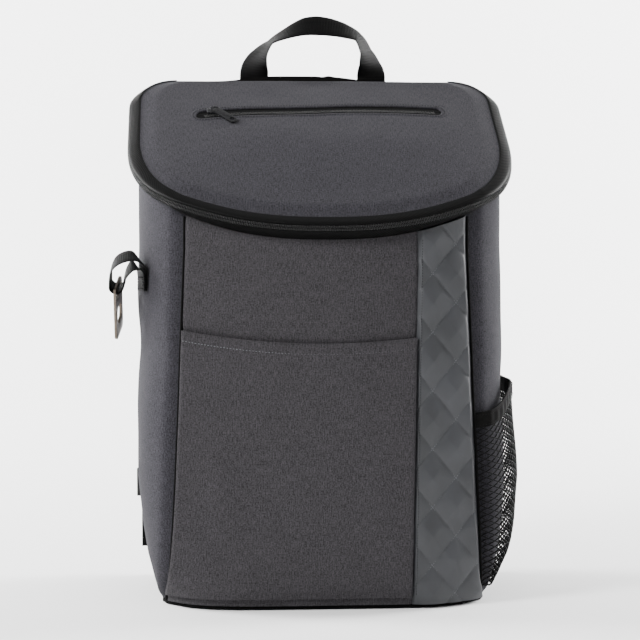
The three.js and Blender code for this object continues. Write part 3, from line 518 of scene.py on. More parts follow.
def dressed_copy(
    node: str, width: float, segments: int, finish: Finish, slot: str, body: Body = Body.BAG
) -> Piece:
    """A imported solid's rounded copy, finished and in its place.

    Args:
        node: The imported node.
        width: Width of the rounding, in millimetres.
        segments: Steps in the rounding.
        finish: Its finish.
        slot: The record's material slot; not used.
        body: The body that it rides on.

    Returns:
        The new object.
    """
    return finished(bevelled_copy(node, width, segments), finish, body, [node], slot)


def box_projected(mesh: bpy.types.Mesh) -> None:
    """Gives a mesh a cloth map by its faces' directions, in metres."""
    layer = mesh.uv_layers.new(name="cloth")
    for face in mesh.polygons:
        lead = max(range(3), key=lambda axis: abs(face.normal[axis]))
        first, second = [(1, 2), (0, 2), (0, 1)][lead]
        for loop in face.loop_indices:
            spot = mesh.vertices[mesh.loops[loop].vertex_index].co
            layer.data[loop].uv = (spot[first], spot[second])


# Repeated work made by node trees


def socket_id(tree: Tree, name: str) -> str:
    """The identifier of a tree's named input."""
    return next(item.identifier for item in tree.interface.items_tree if item.name == name)


def plain_mesh(holder: Piece, tree: Tree, values: dict[str, object], name: str) -> Piece:
    """Runs a node tree on an object and returns its result as a plain piece.

    Args:
        holder: The object with the lines or points that the tree reads; it is removed.
        tree: The node tree.
        values: The tree's inputs by name.
        name: The new piece's name.

    Returns:
        The piece, with no modifier.
    """
    modifier = holder.modifiers.new("repeat", "NODES")
    modifier.node_group = tree
    for key, value in values.items():
        modifier[socket_id(tree, key)] = value
    bpy.context.view_layer.update()
    graph = bpy.context.evaluated_depsgraph_get()
    mesh = bpy.data.meshes.new_from_object(holder.evaluated_get(graph), depsgraph=graph)
    mesh.name = name
    old = holder.data
    bpy.data.objects.remove(holder)
    bpy.data.meshes.remove(old)
    return link(name, mesh)


def lines_object(name: str, lines: Sequence[Array], ups: Sequence[Array] | None = None) -> Piece:
    """An object of bare edges along lines of points, with an optional outward direction at each point.

    Args:
        name: The object's name.
        lines: Lines of points, in millimetres.
        ups: Outward direction at each point.

    Returns:
        The object, for a node tree to read.
    """
    points, edges, start = [], [], 0
    for line in lines:
        points.extend((np.asarray(line, float) * MM).tolist())
        edges.extend((start + i, start + i + 1) for i in range(len(line) - 1))
        start += len(line)
    mesh = bpy.data.meshes.new(name)
    mesh.from_pydata(points, edges, [])
    if ups is not None:
        layer = mesh.attributes.new("up", "FLOAT_VECTOR", "POINT")
        layer.data.foreach_set("vector", np.concatenate(ups).astype(np.float32).ravel())
    return link(name, mesh)


def new_tree(name: str, inputs: Sequence[tuple[str, str, object]]) -> tuple[Tree, Node, Node]:
    """A node tree for meshes with named inputs, its input node and its output node.

    Args:
        name: The tree's name.
        inputs: Label, type and default of each input.

    Returns:
        The tree, its input node and its output node.
    """
    tree = bpy.data.node_groups.new(name, "GeometryNodeTree")
    tree.interface.new_socket("Geometry", in_out="INPUT", socket_type="NodeSocketGeometry")
    for label, kind, default in inputs:
        socket = tree.interface.new_socket(label, in_out="INPUT", socket_type=kind)
        if default is not None:
            socket.default_value = default
    tree.interface.new_socket("Geometry", in_out="OUTPUT", socket_type="NodeSocketGeometry")
    return tree, tree.nodes.new("NodeGroupInput"), tree.nodes.new("NodeGroupOutput")


def steps_along(tree: Tree, start: Node) -> Node:
    """The tree's lines as curves, cut into steps of its pitch."""
    curve = add(tree, "GeometryNodeMeshToCurve", {"Mesh": start.outputs["Geometry"]})
    cut = {"Curve": curve, "Length": start.outputs["Pitch"]}
    return add(tree, "GeometryNodeResampleCurve", cut, mode="LENGTH")


def send_out(tree: Tree, end: Node, made: Node, material: Socket) -> None:
    """Ends a tree: what it made is made real and gets its material."""
    real = add(tree, "GeometryNodeRealizeInstances", {"Geometry": made})
    done = add(tree, "GeometryNodeSetMaterial", {"Geometry": real, "Material": material})
    tree.links.new(done.outputs[0], end.inputs[0])


@dataclass
class Stitching:
    """Rows of machine stitches: a small bead of thread at each step of a line."""

    length: float = 2.0
    pitch: float = 3.0
    thick: float = 0.34
    bead_share: float = 0.68
    tree: Tree = field(init=False)

    def __post_init__(self) -> None:
        """Builds the tree: lines cut into steps, with a bead laid along each."""
        tree, start, end = new_tree("stitch_rows", [
            ("Pitch", "NodeSocketFloat", self.pitch * MM),
            ("Length", "NodeSocketFloat", self.length * MM),
            ("Radius", "NodeSocketFloat", self.thick * MM),
            ("Thread", "NodeSocketMaterial", None),
        ])
        steps = steps_along(tree, start)
        way = add(tree, "GeometryNodeInputTangent")
        turn = add(tree, "FunctionNodeAlignRotationToVector", {"Vector": way}, axis="Z")
        half = add(tree, "ShaderNodeMath", {0: start.outputs["Length"], 1: 0.5}, operation="MULTIPLY")
        bead = add(tree, "GeometryNodeMeshUVSphere", {"Segments": 5, "Rings": 4, "Radius": 1.0})
        radius = start.outputs["Radius"]
        size = add(tree, "ShaderNodeCombineXYZ", {0: radius, 1: radius, 2: half})
        laid = {"Points": steps, "Instance": bead.outputs["Mesh"], "Rotation": turn, "Scale": size}
        send_out(tree, end, add(tree, "GeometryNodeInstanceOnPoints", laid), start.outputs["Thread"])
        self.tree = tree

    def sew(
        self,
        name: str,
        lines: Sequence[Array],
        thread: Finish,
        pitch: float | None = None,
        thick: float | None = None,
    ) -> Piece:
        """Sews rows of stitches along lines of points.

        Args:
            name: The piece's name.
            lines: Lines of points in millimetres, on the cloth.
            thread: The thread's finish.
            pitch: Length of one stitch and its gap.
            thick: Half the thread's thickness.

        Returns:
            The rows as one piece.
        """
        step = pitch or self.pitch
        values = {"Pitch": step * MM, "Length": step * self.bead_share * MM}
        values |= {"Radius": (thick or self.thick) * MM, "Thread": thread.material()}
        piece = plain_mesh(lines_object(f"{name}_lines", lines), self.tree, values, name)
        piece.data.shade_smooth()
        return finished(piece, thread, Body.BAG)


@dataclass
class ZipCoil:
    """A coil zip's chain: two rows of small loops, half a step apart."""

    pitch: float = 1.35
    thick: float = 0.46
    tree: Tree = field(init=False)

    def __post_init__(self) -> None:
        """Builds the tree: a line cut into steps, with a loop across it at each."""
        tree, start, end = new_tree("zip_coil", [
            ("Pitch", "NodeSocketFloat", self.pitch * MM),
            ("Half width", "NodeSocketFloat", 1.1 * MM),
            ("Radius", "NodeSocketFloat", self.thick * MM),
            ("Plastic", "NodeSocketMaterial", None),
        ])
        steps = steps_along(tree, start)
        out = add(tree, "GeometryNodeInputNamedAttribute", {"Name": "up"}, data_type="FLOAT_VECTOR")
        way = add(tree, "GeometryNodeInputTangent")
        across = add(tree, "ShaderNodeVectorMath", {0: way, 1: out}, operation="CROSS_PRODUCT")
        upright = add(tree, "FunctionNodeAlignRotationToVector", {"Vector": across}, axis="Z")
        turned = {"Rotation": upright, "Vector": out}
        facing = add(tree, "FunctionNodeAlignRotationToVector", turned, axis="X", pivot_axis="Z")
        loop = add(tree, "GeometryNodeMeshUVSphere", {"Segments": 6, "Rings": 5, "Radius": 1.0})
        radius = start.outputs["Radius"]
        size = add(tree, "ShaderNodeCombineXYZ", {0: radius, 1: radius, 2: start.outputs["Half width"]})
        laid = {"Points": steps, "Instance": loop.outputs["Mesh"], "Rotation": facing, "Scale": size}
        send_out(tree, end, add(tree, "GeometryNodeInstanceOnPoints", laid), start.outputs["Plastic"])
        self.tree = tree

    def lay(self, name: str, lines: Sequence[Array], ups: Sequence[Array], half_width: float) -> Piece:
        """Lays loops along lines, across the way that ups point out.

        Args:
            name: The piece's name.
            lines: Lines of points, in millimetres.
            ups: Outward direction at each point.
            half_width: Half the width of a row of the coil.

        Returns:
            The finished piece.
        """
        values = {"Pitch": self.pitch * MM, "Half width": half_width * MM, "Radius": self.thick * MM}
        values["Plastic"] = COIL.material()
        piece = plain_mesh(lines_object(f"{name}_lines", lines, ups), self.tree, values, name)
        piece.data.shade_smooth()
        return piece


@dataclass
class Threads:
    """Net or piping: a round cord along every line."""

    tree: Tree = field(init=False)

    def __post_init__(self) -> None:
        """Builds the tree: each line gets a small round section."""
        tree, start, end = new_tree("cord_net", [
            ("Radius", "NodeSocketFloat", 0.5 * MM),
            ("Sides", "NodeSocketInt", 4),
            ("Cord", "NodeSocketMaterial", None),
        ])
        curve = add(tree, "GeometryNodeMeshToCurve", {"Mesh": start.outputs["Geometry"]})
        round_it = {"Resolution": start.outputs["Sides"], "Radius": start.outputs["Radius"]}
        ring = add(tree, "GeometryNodeCurvePrimitiveCircle", round_it)
        swept = {"Curve": curve, "Profile Curve": ring.outputs[0], "Fill Caps": True}
        send_out(tree, end, add(tree, "GeometryNodeCurveToMesh", swept), start.outputs["Cord"])
        self.tree = tree

    def knit(self, name: str, lines: Sequence[Array], radius: float, finish: Finish, sides: int) -> Piece:
        """Runs a cord of the given radius along every line.

        Args:
            name: The piece's name.
            lines: Lines of points, in millimetres.
            radius: The cord's radius.
            finish: The cord's finish.
            sides: Sides of its round section.

        Returns:
            The finished piece.
        """
        values = {"Radius": radius * MM, "Sides": sides, "Cord": finish.material()}
        piece = plain_mesh(lines_object(f"{name}_lines", lines), self.tree, values, name)
        piece.data.shade_smooth()
        return piece


# The bag's form, as the solids have it


@dataclass(frozen=True)
class Section:
    """The body's plan outline at a height, or at an array of heights."""

    half: Array
    seam: Array
    front: Array
    bow: Array
    square: Array

    def front_point(self, x: Array) -> tuple[Array, Array, Array]:
        """Depth of the front at x and the x and y of its outward direction.

        Args:
            x: Places across the bag.

        Returns:
            Depth, then the direction's x and y.
        """
        share = np.abs(x) / self.seam
        y = self.front + self.bow * share**self.square
        steep = np.sign(x) * self.bow * self.square * share ** (self.square - 1) / self.seam
        long = np.hypot(steep, 1)
        return y, steep / long, -1 / long


@dataclass(frozen=True)
class Outline:
    """The body's outline from the base to the rim, in millimetres."""

    width: float = 308
    depth: float = 182
    height: float = 441
    back_corner: float = 32
    front_width: float = 262
    bow: float = 16
    corner_reach: float = 80
    wall: float = 5
    base: float = 3.0
    seam_dip: float = 4.5
    seam_reach: float = 16

    # Rows from the base to the rim: height, half width, seam, front, bow and how square the bow is.
    rows: tuple[tuple[float, ...], ...] = (
        (0.0, 0.864, 1.0, 0.94, 2.2, 6),
        (0.023, 0.888, 0.992, 0.97, 1.75, 5.4),
        (0.05, 0.914, 0.977, 0.985, 1.25, 4.4),
        (0.09, 0.946, 0.962, 0.995, 0.85, 3.3),
        (0.147, 0.971, 0.947, 1.0, 0.66, 2.6),
        (0.227, 0.992, 0.931, 1.0, 0.62, 2.3),
        (0.363, 1.0, 0.911, 1.0, 0.7, 2.2),
        (0.476, 0.994, 0.897, 1.0, 0.8, 2.2),
        (0.66, 0.988, 0.872, 1.0, 1.0, 2.3),
        (1.0, 0.988, 0.872, 1.0, 1.0, 2.3),
    )

    @property
    def back(self) -> float:
        """Depth of the back panel's outer face."""
        return self.depth / 2

    def section(self, z: Array) -> Section:
        """The outline's measures at heights.

        Args:
            z: Heights.

        Returns:
            The measures.
        """
        table = np.array(self.rows)
        at = np.clip(np.asarray(z, float) / self.height, 0, 1)
        width, seam, front, bow, square = (np.interp(at, table[:, 0], table[:, k]) for k in range(1, 6))
        halves = (width * self.width / 2, seam * self.front_width / 2)
        return Section(*halves, -front * self.depth / 2, bow * self.bow, square)

    def side_line(self, z: float, steps: int = 240) -> tuple[Array, float]:
        """The left side's plan line at a height, from the back to the front seam.

        Args:
            z: Heights.
            steps: How many steps.

        Returns:
            The line in even steps, and its length.
        """
        s = self.section(z)
        end_y, out_x, out_y = s.front_point(-s.seam)
        end = np.array([-s.seam, end_y])
        along = np.array([-out_y, out_x])
        corner = s.half - s.seam
        reach = self.corner_reach * np.clip(corner / (self.width * 0.125), 0.1, 1)
        start = np.array([-s.half, end_y + reach])
        turn = np.linspace(math.pi / 2, math.pi, 40)
        middle = np.array([-s.half + self.back_corner, self.back - self.back_corner])
        arc = middle + self.back_corner * np.stack([np.cos(turn), np.sin(turn)], 1)
        t = np.linspace(0, 1, 90)[:, None]
        near, far = start + np.array([0, -0.55 * reach]), end - along * 0.55 * corner
        bend = (1 - t) ** 3 * start + 3 * (1 - t) ** 2 * t * near + 3 * (1 - t) * t**2 * far + t**3 * end
        return even_steps(np.concatenate([arc, bend]), steps)


def run_along(line: Array) -> Array:
    """How far each point lies along a line."""
    return np.concatenate([[0], np.cumsum(np.linalg.norm(np.diff(line, axis=0), axis=-1))])


def tangents(line: Array) -> Array:
    """The line's direction at each of its points."""
    along = np.gradient(line, axis=0)
    return along / np.linalg.norm(along, axis=-1, keepdims=True)


def even_steps(line: Array, steps: int) -> tuple[Array, float]:
    """A line cut again into even steps, and its length."""
    run = run_along(line)
    places = np.linspace(0, run[-1], steps + 1)
    return np.stack([np.interp(places, run, line[:, k]) for k in range(line.shape[1])], 1), float(run[-1])


def even_pitch(line: Array, pitch: float) -> Array:
    """A line cut again into steps of about the given length."""
    length = float(np.linalg.norm(np.diff(line, axis=0), axis=1).sum())
    return even_steps(line, max(2, round(length / pitch)))[0]


@dataclass
class SideTable:
    """The left side's plan lines at every height, ready to be read between rows."""

    outline: Outline
    steps: int = 240
    lines: Array = field(init=False)
    lengths: Array = field(init=False)

    def __post_init__(self) -> None:
        """Works out a line for each millimetre of height."""
        made = [self.outline.side_line(z, self.steps) for z in range(int(self.outline.height) + 2)]
        self.lines = np.array([line for line, _ in made])
        self.lengths = np.array([length for _, length in made])

    def length(self, z: Array) -> Array:
        """Length of the side's line at heights."""
        return np.interp(z, np.arange(len(self.lengths)), self.lengths)

    def plain(self, t: Array, z: Array) -> Array:
        """Plan points of the left side.

        Args:
            t: Shares from the back seam.
            z: Heights.

        Returns:
            Rows of x and y.
        """
        t, z = np.broadcast_arrays(t, z)
        row = np.clip(z, 0, len(self.lengths) - 1.001)
        column = np.clip(t, 0, 1) * self.steps
        r, c = row.astype(int), np.minimum(column.astype(int), self.steps - 1)
        fr, fc = (row - r)[..., None], (column - c)[..., None]
        low = self.lines[r, c] * (1 - fc) + self.lines[r, c + 1] * fc
        high = self.lines[r + 1, c] * (1 - fc) + self.lines[r + 1, c + 1] * fc
        return low * (1 - fr) + high * fr

    def at(self, t: Array, z: Array, side: Side) -> tuple[Array, Array]:
        """Plan points of a side and their outward directions, for shares from the back seam.

        Args:
            t: Shares from the back seam.
            z: Heights.
            side: Which side of the bag.

        Returns:
            The points and their directions.
        """
        step = 1.5 / self.steps
        along = self.plain(np.asarray(t) + step, z) - self.plain(np.asarray(t) - step, z)
        along /= np.linalg.norm(along, axis=-1, keepdims=True)
        point = self.plain(t, z)
        sign = side.value
        outward = np.stack([-sign * along[..., 1], -along[..., 0]], -1)
        return np.stack([-sign * point[..., 0], point[..., 1]], -1), outward


@dataclass(frozen=True)
class Lid:
    """The sloping lid: its plane, the swell of its padding and its drooping front edge."""

    outline: Outline
    slope: float = 0.62
    crown: float = 8
    droop: float = 8
    droop_width: float = 250
    thickness: float = 9
    edge_drop: float = 4
    round_over: float = 0.94
    lid_tape: float = 6
    teeth: float = 5
    body_tape: float = 2.4
    front_tape: float = 5.4
    stand: float = 9.4
    gap: float = 0.3

    @property
    def teeth_start(self) -> float:
        """Where the teeth start, below the lid's top."""
        return self.edge_drop + self.thickness / 2 + self.lid_tape / 6 + self.gap

    @property
    def body_tape_start(self) -> float:
        """Where the tape to the body starts, below the lid's top."""
        return self.teeth_start + self.teeth + self.gap

    def front_middle(self, x: Array, y: Array) -> Array:
        """How near a plan point is to the middle of the front edge, from 0 to 1."""
        across = np.maximum(0, 1 - np.abs(2 * x / self.droop_width) ** 3)
        return across * ease(-np.asarray(y), 0, self.outline.back)

    def height(self, x: Array, y: Array) -> Array:
        """Height of the padded top over plan points.

        Args:
            x: Places across the bag.
            y: Depths.

        Returns:
            The heights.
        """
        plane = self.outline.height - self.slope * (self.outline.back - y)
        side = np.maximum(0, 1 - (x / (self.outline.width / 2)) ** 2)
        deep = np.maximum(0, 1 - (y / self.outline.back) ** 2)
        return plane + self.crown * side * deep - self.droop * self.front_middle(x, y)

    def tape_end(self, x: Array, y: Array) -> Array:
        """How far below the top the body's zip tape ends."""
        tape = self.body_tape + (self.front_tape - self.body_tape) * self.front_middle(x, y)
        return self.body_tape_start + tape

    def wall_top(self, x: Array, y: Array) -> Array:
        """Height at which the body's walls end."""
        return self.height(x, y) - self.tape_end(x, y) - 2.5 * self.gap

    @property
    def lean(self) -> float:
        """The slope as an angle."""
        return math.atan(self.slope)


@dataclass
class Rim:
    """The rim from the back left corner over the front to the back right corner."""

    lid: Lid
    sides: SideTable
    line: Array = field(init=False)
    length: float = field(init=False)

    def __post_init__(self) -> None:
        """Joins the two sides and the front of the highest section."""
        outline = self.lid.outline
        section = outline.section(outline.height)
        left = self.sides.lines[int(outline.height)]
        x = np.linspace(-section.seam, section.seam, 200)[1:-1]
        front = np.stack([x, section.front_point(x)[0]], 1)
        right = left[::-1] * np.array([-1, 1])
        self.line, self.length = even_steps(np.concatenate([left, front, right]), 900)

    def plan(self, share: Array) -> tuple[Array, Array]:
        """Plan points and outward directions at shares of the rim.

        Args:
            share: Shares along the rim.

        Returns:
            The points and their directions.
        """
        places = np.linspace(0, 1, len(self.line))
        read = lambda s: np.stack([np.interp(s, places, self.line[:, k]) for k in (0, 1)], -1)
        step = 0.004
        along = read(np.clip(share + step, 0, 1)) - read(np.clip(share - step, 0, 1))
        along /= np.linalg.norm(along, axis=-1, keepdims=True)
        return read(share), np.stack([along[..., 1], -along[..., 0]], -1)

    def point(self, share: Array, out: Array, down: Array) -> Array:
        """Points out from the rim and down from the lid's top.

        Args:
            share: Shares along the rim.
            out: How far out.
            down: How far below the lid's top.

        Returns:
            Points in space.
        """
        share, out, down = np.broadcast_arrays(share, out, down)
        plan, outward = self.plan(share)
        xy = plan + outward * out[..., None]
        z = self.lid.height(plan[..., 0], plan[..., 1]) - down
        return np.concatenate([xy, z[..., None]], -1)


OUTLINE = Outline()
SIDES = SideTable(OUTLINE)
LID = Lid(OUTLINE)
RIM = Rim(LID, SIDES)


def catmull_rom(points: Sequence[Sequence[float]], per_span: int = 16) -> Array:
    """A centripetal curve through points, with even shares of each span.

    Args:
        points: What it runs through.
        per_span: Points in each span.

    Returns:
        The curve's points.
    """
    p = np.array(points, float)
    p = np.concatenate([[2 * p[0] - p[1]], p, [2 * p[-1] - p[-2]]])
    made = []
    for k in range(1, len(p) - 2):
        a, b, c, d = p[k - 1 : k + 3]
        first, second, third = (max(np.linalg.norm(q - r), 1e-4) ** 0.5 for q, r in ((b, a), (c, b), (d, c)))
        low = (b - a) / first - (c - a) / (first + second) + (c - b) / second
        high = (c - b) / second - (d - b) / (second + third) + (d - c) / third
        low, high = low * second, high * second
        t = np.linspace(0, 1, per_span, endpoint=False)[:, None]
        square, cube = -3 * b + 3 * c - 2 * low - high, 2 * b - 2 * c + low + high
        made.append(b + low * t + square * t**2 + cube * t**3)
    return np.concatenate(made + [p[-2:-1]])


@dataclass(frozen=True)
class Ribbon:
    """A woven band along a line: closed, with rounded edges and raised ribs across it."""

    width: float
    thick: float
    rib_pitch: float = 2.4
    rib_depth: float = 0.28
    columns: int = 8
    steps_per_rib: int = 4

    def build(self, name: str, line: Array, across: Array | Sequence[float]) -> Piece:
        """Builds the band.

        Args:
            name: The piece's name.
            line: Points of its middle line.
            across: Direction of its width, one for all or one for each point of the line.

        Returns:
            The band, its outer face on the side of across x along.
        """
        joint = np.concatenate([line, np.broadcast_to(np.asarray(across, float), line.shape)], 1)
        run = run_along(line)
        count = max(4, round(run[-1] / self.rib_pitch * self.steps_per_rib))
        places = np.linspace(0, run[-1], count + 1)
        even = np.stack([np.interp(places, run, joint[:, k]) for k in range(6)], 1)
        middle, wide = even[:, :3], even[:, 3:]
        along = tangents(middle)
        wide = wide - along * (wide * along).sum(1, keepdims=True)
        wide /= np.linalg.norm(wide, axis=1, keepdims=True)
        normal = np.cross(wide, along)
        v = np.sin(np.linspace(-math.pi / 2, math.pi / 2, self.columns + 1)) / 2
        body = self.thick / 2 - self.rib_depth
        round_off = (1 - np.abs(2 * v) ** 6) * 0.65 + 0.35
        rib = np.abs(np.sin(math.pi * places / self.rib_pitch)) ** 0.8 * self.rib_depth
        high = (body + rib)[:, None] * round_off[None, :]
        from_middle = v[None, :] * self.width
        spread = middle[:, None] + wide[:, None] * from_middle[..., None]
        outer = spread + normal[:, None] * high[..., None]
        inner = spread - normal[:, None] * high[..., None]
        uv = np.stack(np.broadcast_arrays(from_middle, places[:, None]), -1)
        return cloth_wall(name, outer, inner, uv)


def raised(plan: Array, outward: Array, z: Array, out: Array) -> Array:
    """Points in space from plan points moved out along their outward directions."""
    xy = plan + outward * np.asarray(out)[..., None]
    return np.concatenate([xy, np.broadcast_to(z, xy.shape[:-1])[..., None]], -1)


# Body


@dataclass
class FrontWalls:
    """The front panel, its flat pocket and the quilted strip."""

    stitching: Stitching
    wall: float = 6
    quilt_bottom: float = 68.5
    quilt_top: float = 73
    diamond_wide: float = 38.6
    diamond_tall: float = 47.3
    crossing_x: float = 85.1
    crossing_z: float = 271.5
    puff: float = 4.4
    pocket_left: float = 226
    pocket_right: float = 220
    pocket_sag: float = 7
    pocket_bottom: float = 9
    cloth: float = 1.6
    lift: float = 1.1
    hem: float = 8.6
    curl: float = 0.9
    curl_reach: float = 1.8
    # Radius of the black cord that paints the shadow in the front seams' grooves.
    seam_shadow_radius: float = 1.15
    tuck: float = 0.15
    hem_high: float = 0.55
    fold_high: float = 1.3
    fold_wide: float = 9
    fold_x: float = -82
    fold_z: float = 86
    on_cloth: float = 0.12

    def quilt_seam(self, z: Array) -> Array:
        """The x of the seam between the front panel and the quilted strip."""
        return self.quilt_bottom + (self.quilt_top - self.quilt_bottom) * np.minimum(1, z / self.crossing_z)

    def left_seam(self, z: Array) -> Array:
        """The x of the left front seam."""
        return -OUTLINE.section(z).seam + self.tuck

    def right_seam(self, z: Array) -> Array:
        """The x of the right front seam."""
        return OUTLINE.section(z).seam - self.tuck

    def hem_height(self, x: Array) -> Array:
        """Height of the pocket's sagging hem.

        Args:
            x: Places across the bag.

        Returns:
            The heights.
        """
        seam = OUTLINE.section(OUTLINE.height).seam
        share = (x + seam) / (seam + self.quilt_top)
        straight = self.pocket_left + (self.pocket_right - self.pocket_left) * share
        return straight - self.pocket_sag * 4 * share * (1 - share)

    def top(self, x: Array) -> Array:
        """Height at which the front ends under the zip."""
        y = OUTLINE.section(OUTLINE.height).front_point(x)[0]
        return LID.wall_top(x, y)

    def surface(self, x: Array, z: Array, out: Array) -> Array:
        """Points over the front, out from its outline."""
        y, out_x, out_y = OUTLINE.section(z).front_point(x)
        return np.stack([x + out_x * out, y + out_y * out, np.broadcast_to(z, np.shape(x))], -1)

    def grid(
        self, columns: int, rows: int, left: Callable, right: Callable, bottom: float, top: Callable
    ) -> tuple[Array, Array]:
        """Places in x and z of a panel's grid between two seams.

        Args:
            columns: Steps across.
            rows: Steps up.
            left: The left edge's x at a height.
            right: The right edge's x at a height.
            bottom: Height of the lower edge.
            top: Height of the upper edge at an x.

        Returns:
            The places in x and in z.
        """
        a = np.linspace(0, 1, columns + 1)[None, :]
        b = np.linspace(0, 1, rows + 1)[:, None]
        height = OUTLINE.height
        rough = left(height) + (right(height) - left(height)) * a
        z = bottom + (top(rough) - bottom) * b
        return left(z) + (right(z) - left(z)) * a, z

    def curled(self, x: Array, z: Array, left: Callable, right: Callable) -> Array:
        """How far the cloth turns in beside its two seams."""
        near = np.minimum(x - left(z), right(z) - x)
        return self.curl * (1 - ease(near, 0, self.curl_reach)) ** 1.6

    def panel(self) -> Piece:
        """The front panel, which shows above the pocket's hem.

        Returns:
            The finished piece.
        """
        x, z = self.grid(104, 90, self.left_seam, self.quilt_seam, OUTLINE.base, self.top)
        swell = 0.35 * ripple(x, z, 95, 3) + 0.2 * ripple(x, z, 30, 4)
        top = self.top(x) - z
        behind_hem = 1.1 * np.exp(-(((z - self.hem_height(x)) / 6.0) ** 2))
        curled = self.curled(x, z, self.left_seam, self.quilt_seam)
        out = swell - curled - behind_hem - 1.2 * (1 - ease(top, 0, 6))
        outer, inner = self.surface(x, z, out), self.surface(x, z, out * 0 - self.wall)
        piece = cloth_wall("front_panel_cloth", outer, inner, np.stack([x, z], -1))
        looks = (MELANGE_FRONT_PAINTED_LIGHT, Body.BAG, ["front_panel"], "melange_cloth")
        return finished(piece, *looks, Soft.PADDED, 0.6, LINING)

    def pocket(self) -> Piece:
        """The front pocket's sheet with its turned hem and one soft slanting fold.

        Returns:
            The finished piece.
        """
        x, z = self.grid(116, 130, self.left_seam, self.quilt_seam, self.pocket_bottom, self.hem_height)
        out = self.pocket_out(x, z)
        uv = np.stack([x, z + 3.1], -1)
        back = self.surface(x, z, out - self.cloth * 0.8)
        piece = cloth_wall("front_pocket_cloth", self.surface(x, z, out), back, uv)
        finished(piece, MELANGE_FRONT_PAINTED_LIGHT, Body.BAG, ["front_pocket"], "melange_cloth", lining=LINING)
        return piece

    def pocket_out(self, x: Array, z: Array) -> Array:
        """How far the pocket's outer face stands off the front's outline.

        Args:
            x: Places across the bag.
            z: Heights.

        Returns:
            Distances outwards.
        """
        below = self.hem_height(x) - z
        edge = 1 - ease(below, 0, 1.4)
        hem = self.hem_high * (1 - ease(below, self.hem - 1.0, self.hem + 0.6))
        stitch = self.hem_high * np.exp(-((below - self.hem) ** 2))
        slant = (x - self.fold_x) * 0.965 + (z - self.fold_z) * 0.263
        fold = self.fold_high * np.exp(-((slant / self.fold_wide) ** 2))
        fold = fold * ease(z, 20, 60) * (1 - ease(z, 110, 150))
        swell = 0.55 * ripple(x, z, 120, 7) + 0.22 * ripple(x, z, 36, 8)
        lower = 0.7 * (1 - ease(z - self.pocket_bottom, 0, 9))
        turn = self.curled(x, z, self.left_seam, self.quilt_seam) * ease(below, 0, 3)
        raised_by = self.lift + self.cloth + swell * ease(below, 0, 20) + hem + fold
        return raised_by - stitch - 0.8 * edge**2 - lower - turn

    def quilting(self, x: Array, z: Array) -> Array:
        """Puff of the quilting: pillows between sharp stitched valleys.

        Args:
            x: Places across the bag.
            z: Heights.

        Returns:
            Distances outwards.
        """
        across = (x - self.crossing_x) / self.diamond_wide
        up = (z - self.crossing_z) / self.diamond_tall
        to_line = lambda v: np.abs(v - np.round(v)) * 2
        return self.puff * (to_line(across + up) * to_line(across - up)) ** 0.5

    def quilt_out(self, x: Array, z: Array) -> Array:
        """How far the quilted strip's face stands off the front's outline.

        Args:
            x: Places across the bag.
            z: Heights.

        Returns:
            Distances outwards.
        """
        near = np.minimum(x - self.quilt_seam(z), self.right_seam(z) - x)
        edge = ease(near, 0, 4)
        turned_in = 1.5 * (1 - ease(near, 0, 3))
        return (self.quilting(x, z) + 0.5) * edge - turned_in + 0.18 * ripple(x, z, 16, 12)

    def quilted_strip(self) -> Piece:
        """The quilted strip between its own seam and the right front seam.

        Returns:
            The finished piece.
        """
        x, z = self.grid(50, 290, self.quilt_seam, self.right_seam, OUTLINE.base, self.top)
        x = x + self.tuck
        out = self.quilt_out(x, z)
        outer, inner = self.surface(x, z, out), self.surface(x, z, out * 0 - self.wall)
        piece = cloth_wall("quilted_strip", outer, inner, np.stack([x, z], -1))
        return finished(piece, COATED, Body.BAG, ["quilted_panel"], "coated_cloth", Soft.PADDED, 0.75, LINING)

    def quilt_lines(self) -> list[Array]:
        """The stitched lines of the quilting, on its face.

        Returns:
            A line of points for each row of stitches.
        """
        lines = []
        z = np.arange(OUTLINE.base + 1, 330, 1.0)
        up = (z - self.crossing_z) / self.diamond_tall
        for way in (1, -1):
            for k in range(-8, 9):
                x = self.crossing_x + self.diamond_wide * way * (k - up)
                across = (x > self.quilt_seam(z) + 1.5) & (x < self.right_seam(z) - 1.5)
                inside = np.nonzero(across & (z < self.top(x) - 1))[0]
                for part in np.split(inside, np.nonzero(np.diff(inside) > 1)[0] + 1):
                    if len(part) > 3:
                        out = self.quilt_out(x[part], z[part]) + self.on_cloth
                        lines.append(self.surface(x[part], z[part], out))
        return lines

    def stitches(self) -> list[Piece]:
        """Stitches of the hem, the quilting and the strip's seam.

        Returns:
            The finished pieces.
        """
        x = np.linspace(self.left_seam(200.0) + 2.5, self.quilt_seam(200.0) - 2.5, 120)
        z = self.hem_height(x) - self.hem
        hem = self.surface(x, z, self.pocket_out(x, z) + self.on_cloth)
        z = np.arange(12.0, 300.0, 2.0)
        seam_x = self.quilt_seam(z) + 3.2
        seam = self.surface(seam_x, z, self.quilt_out(seam_x, z) + 0.1)
        return [
            self.stitching.sew("hem_stitches", [hem], THREAD_GREY, pitch=2.6, thick=0.32),
            self.stitching.sew("quilt_stitches", self.quilt_lines(), THREAD_GREY, pitch=2.1, thick=0.26),
            self.stitching.sew("strip_seam_stitches", [seam], THREAD_DARK, pitch=2.2, thick=0.26),
        ]

    def seam_groove_shadows(self, threads: Threads) -> Piece:
        """A black cord deep in the groove of both front seams: painted shadow, a dark line where the groove
        lies in shade.

        Args:
            threads: What runs the cord.

        Returns:
            The finished piece.
        """
        lines = []
        for edge, way in ((self.left_seam, -1), (self.right_seam, 1)):
            z = np.linspace(OUTLINE.base + 1, float(self.top(edge(300.0))) - 1, 130)
            line = self.surface(edge(z), z, np.full_like(z, -1.7))
            line[:, 0] += way * 0.9
            lines.append(line)
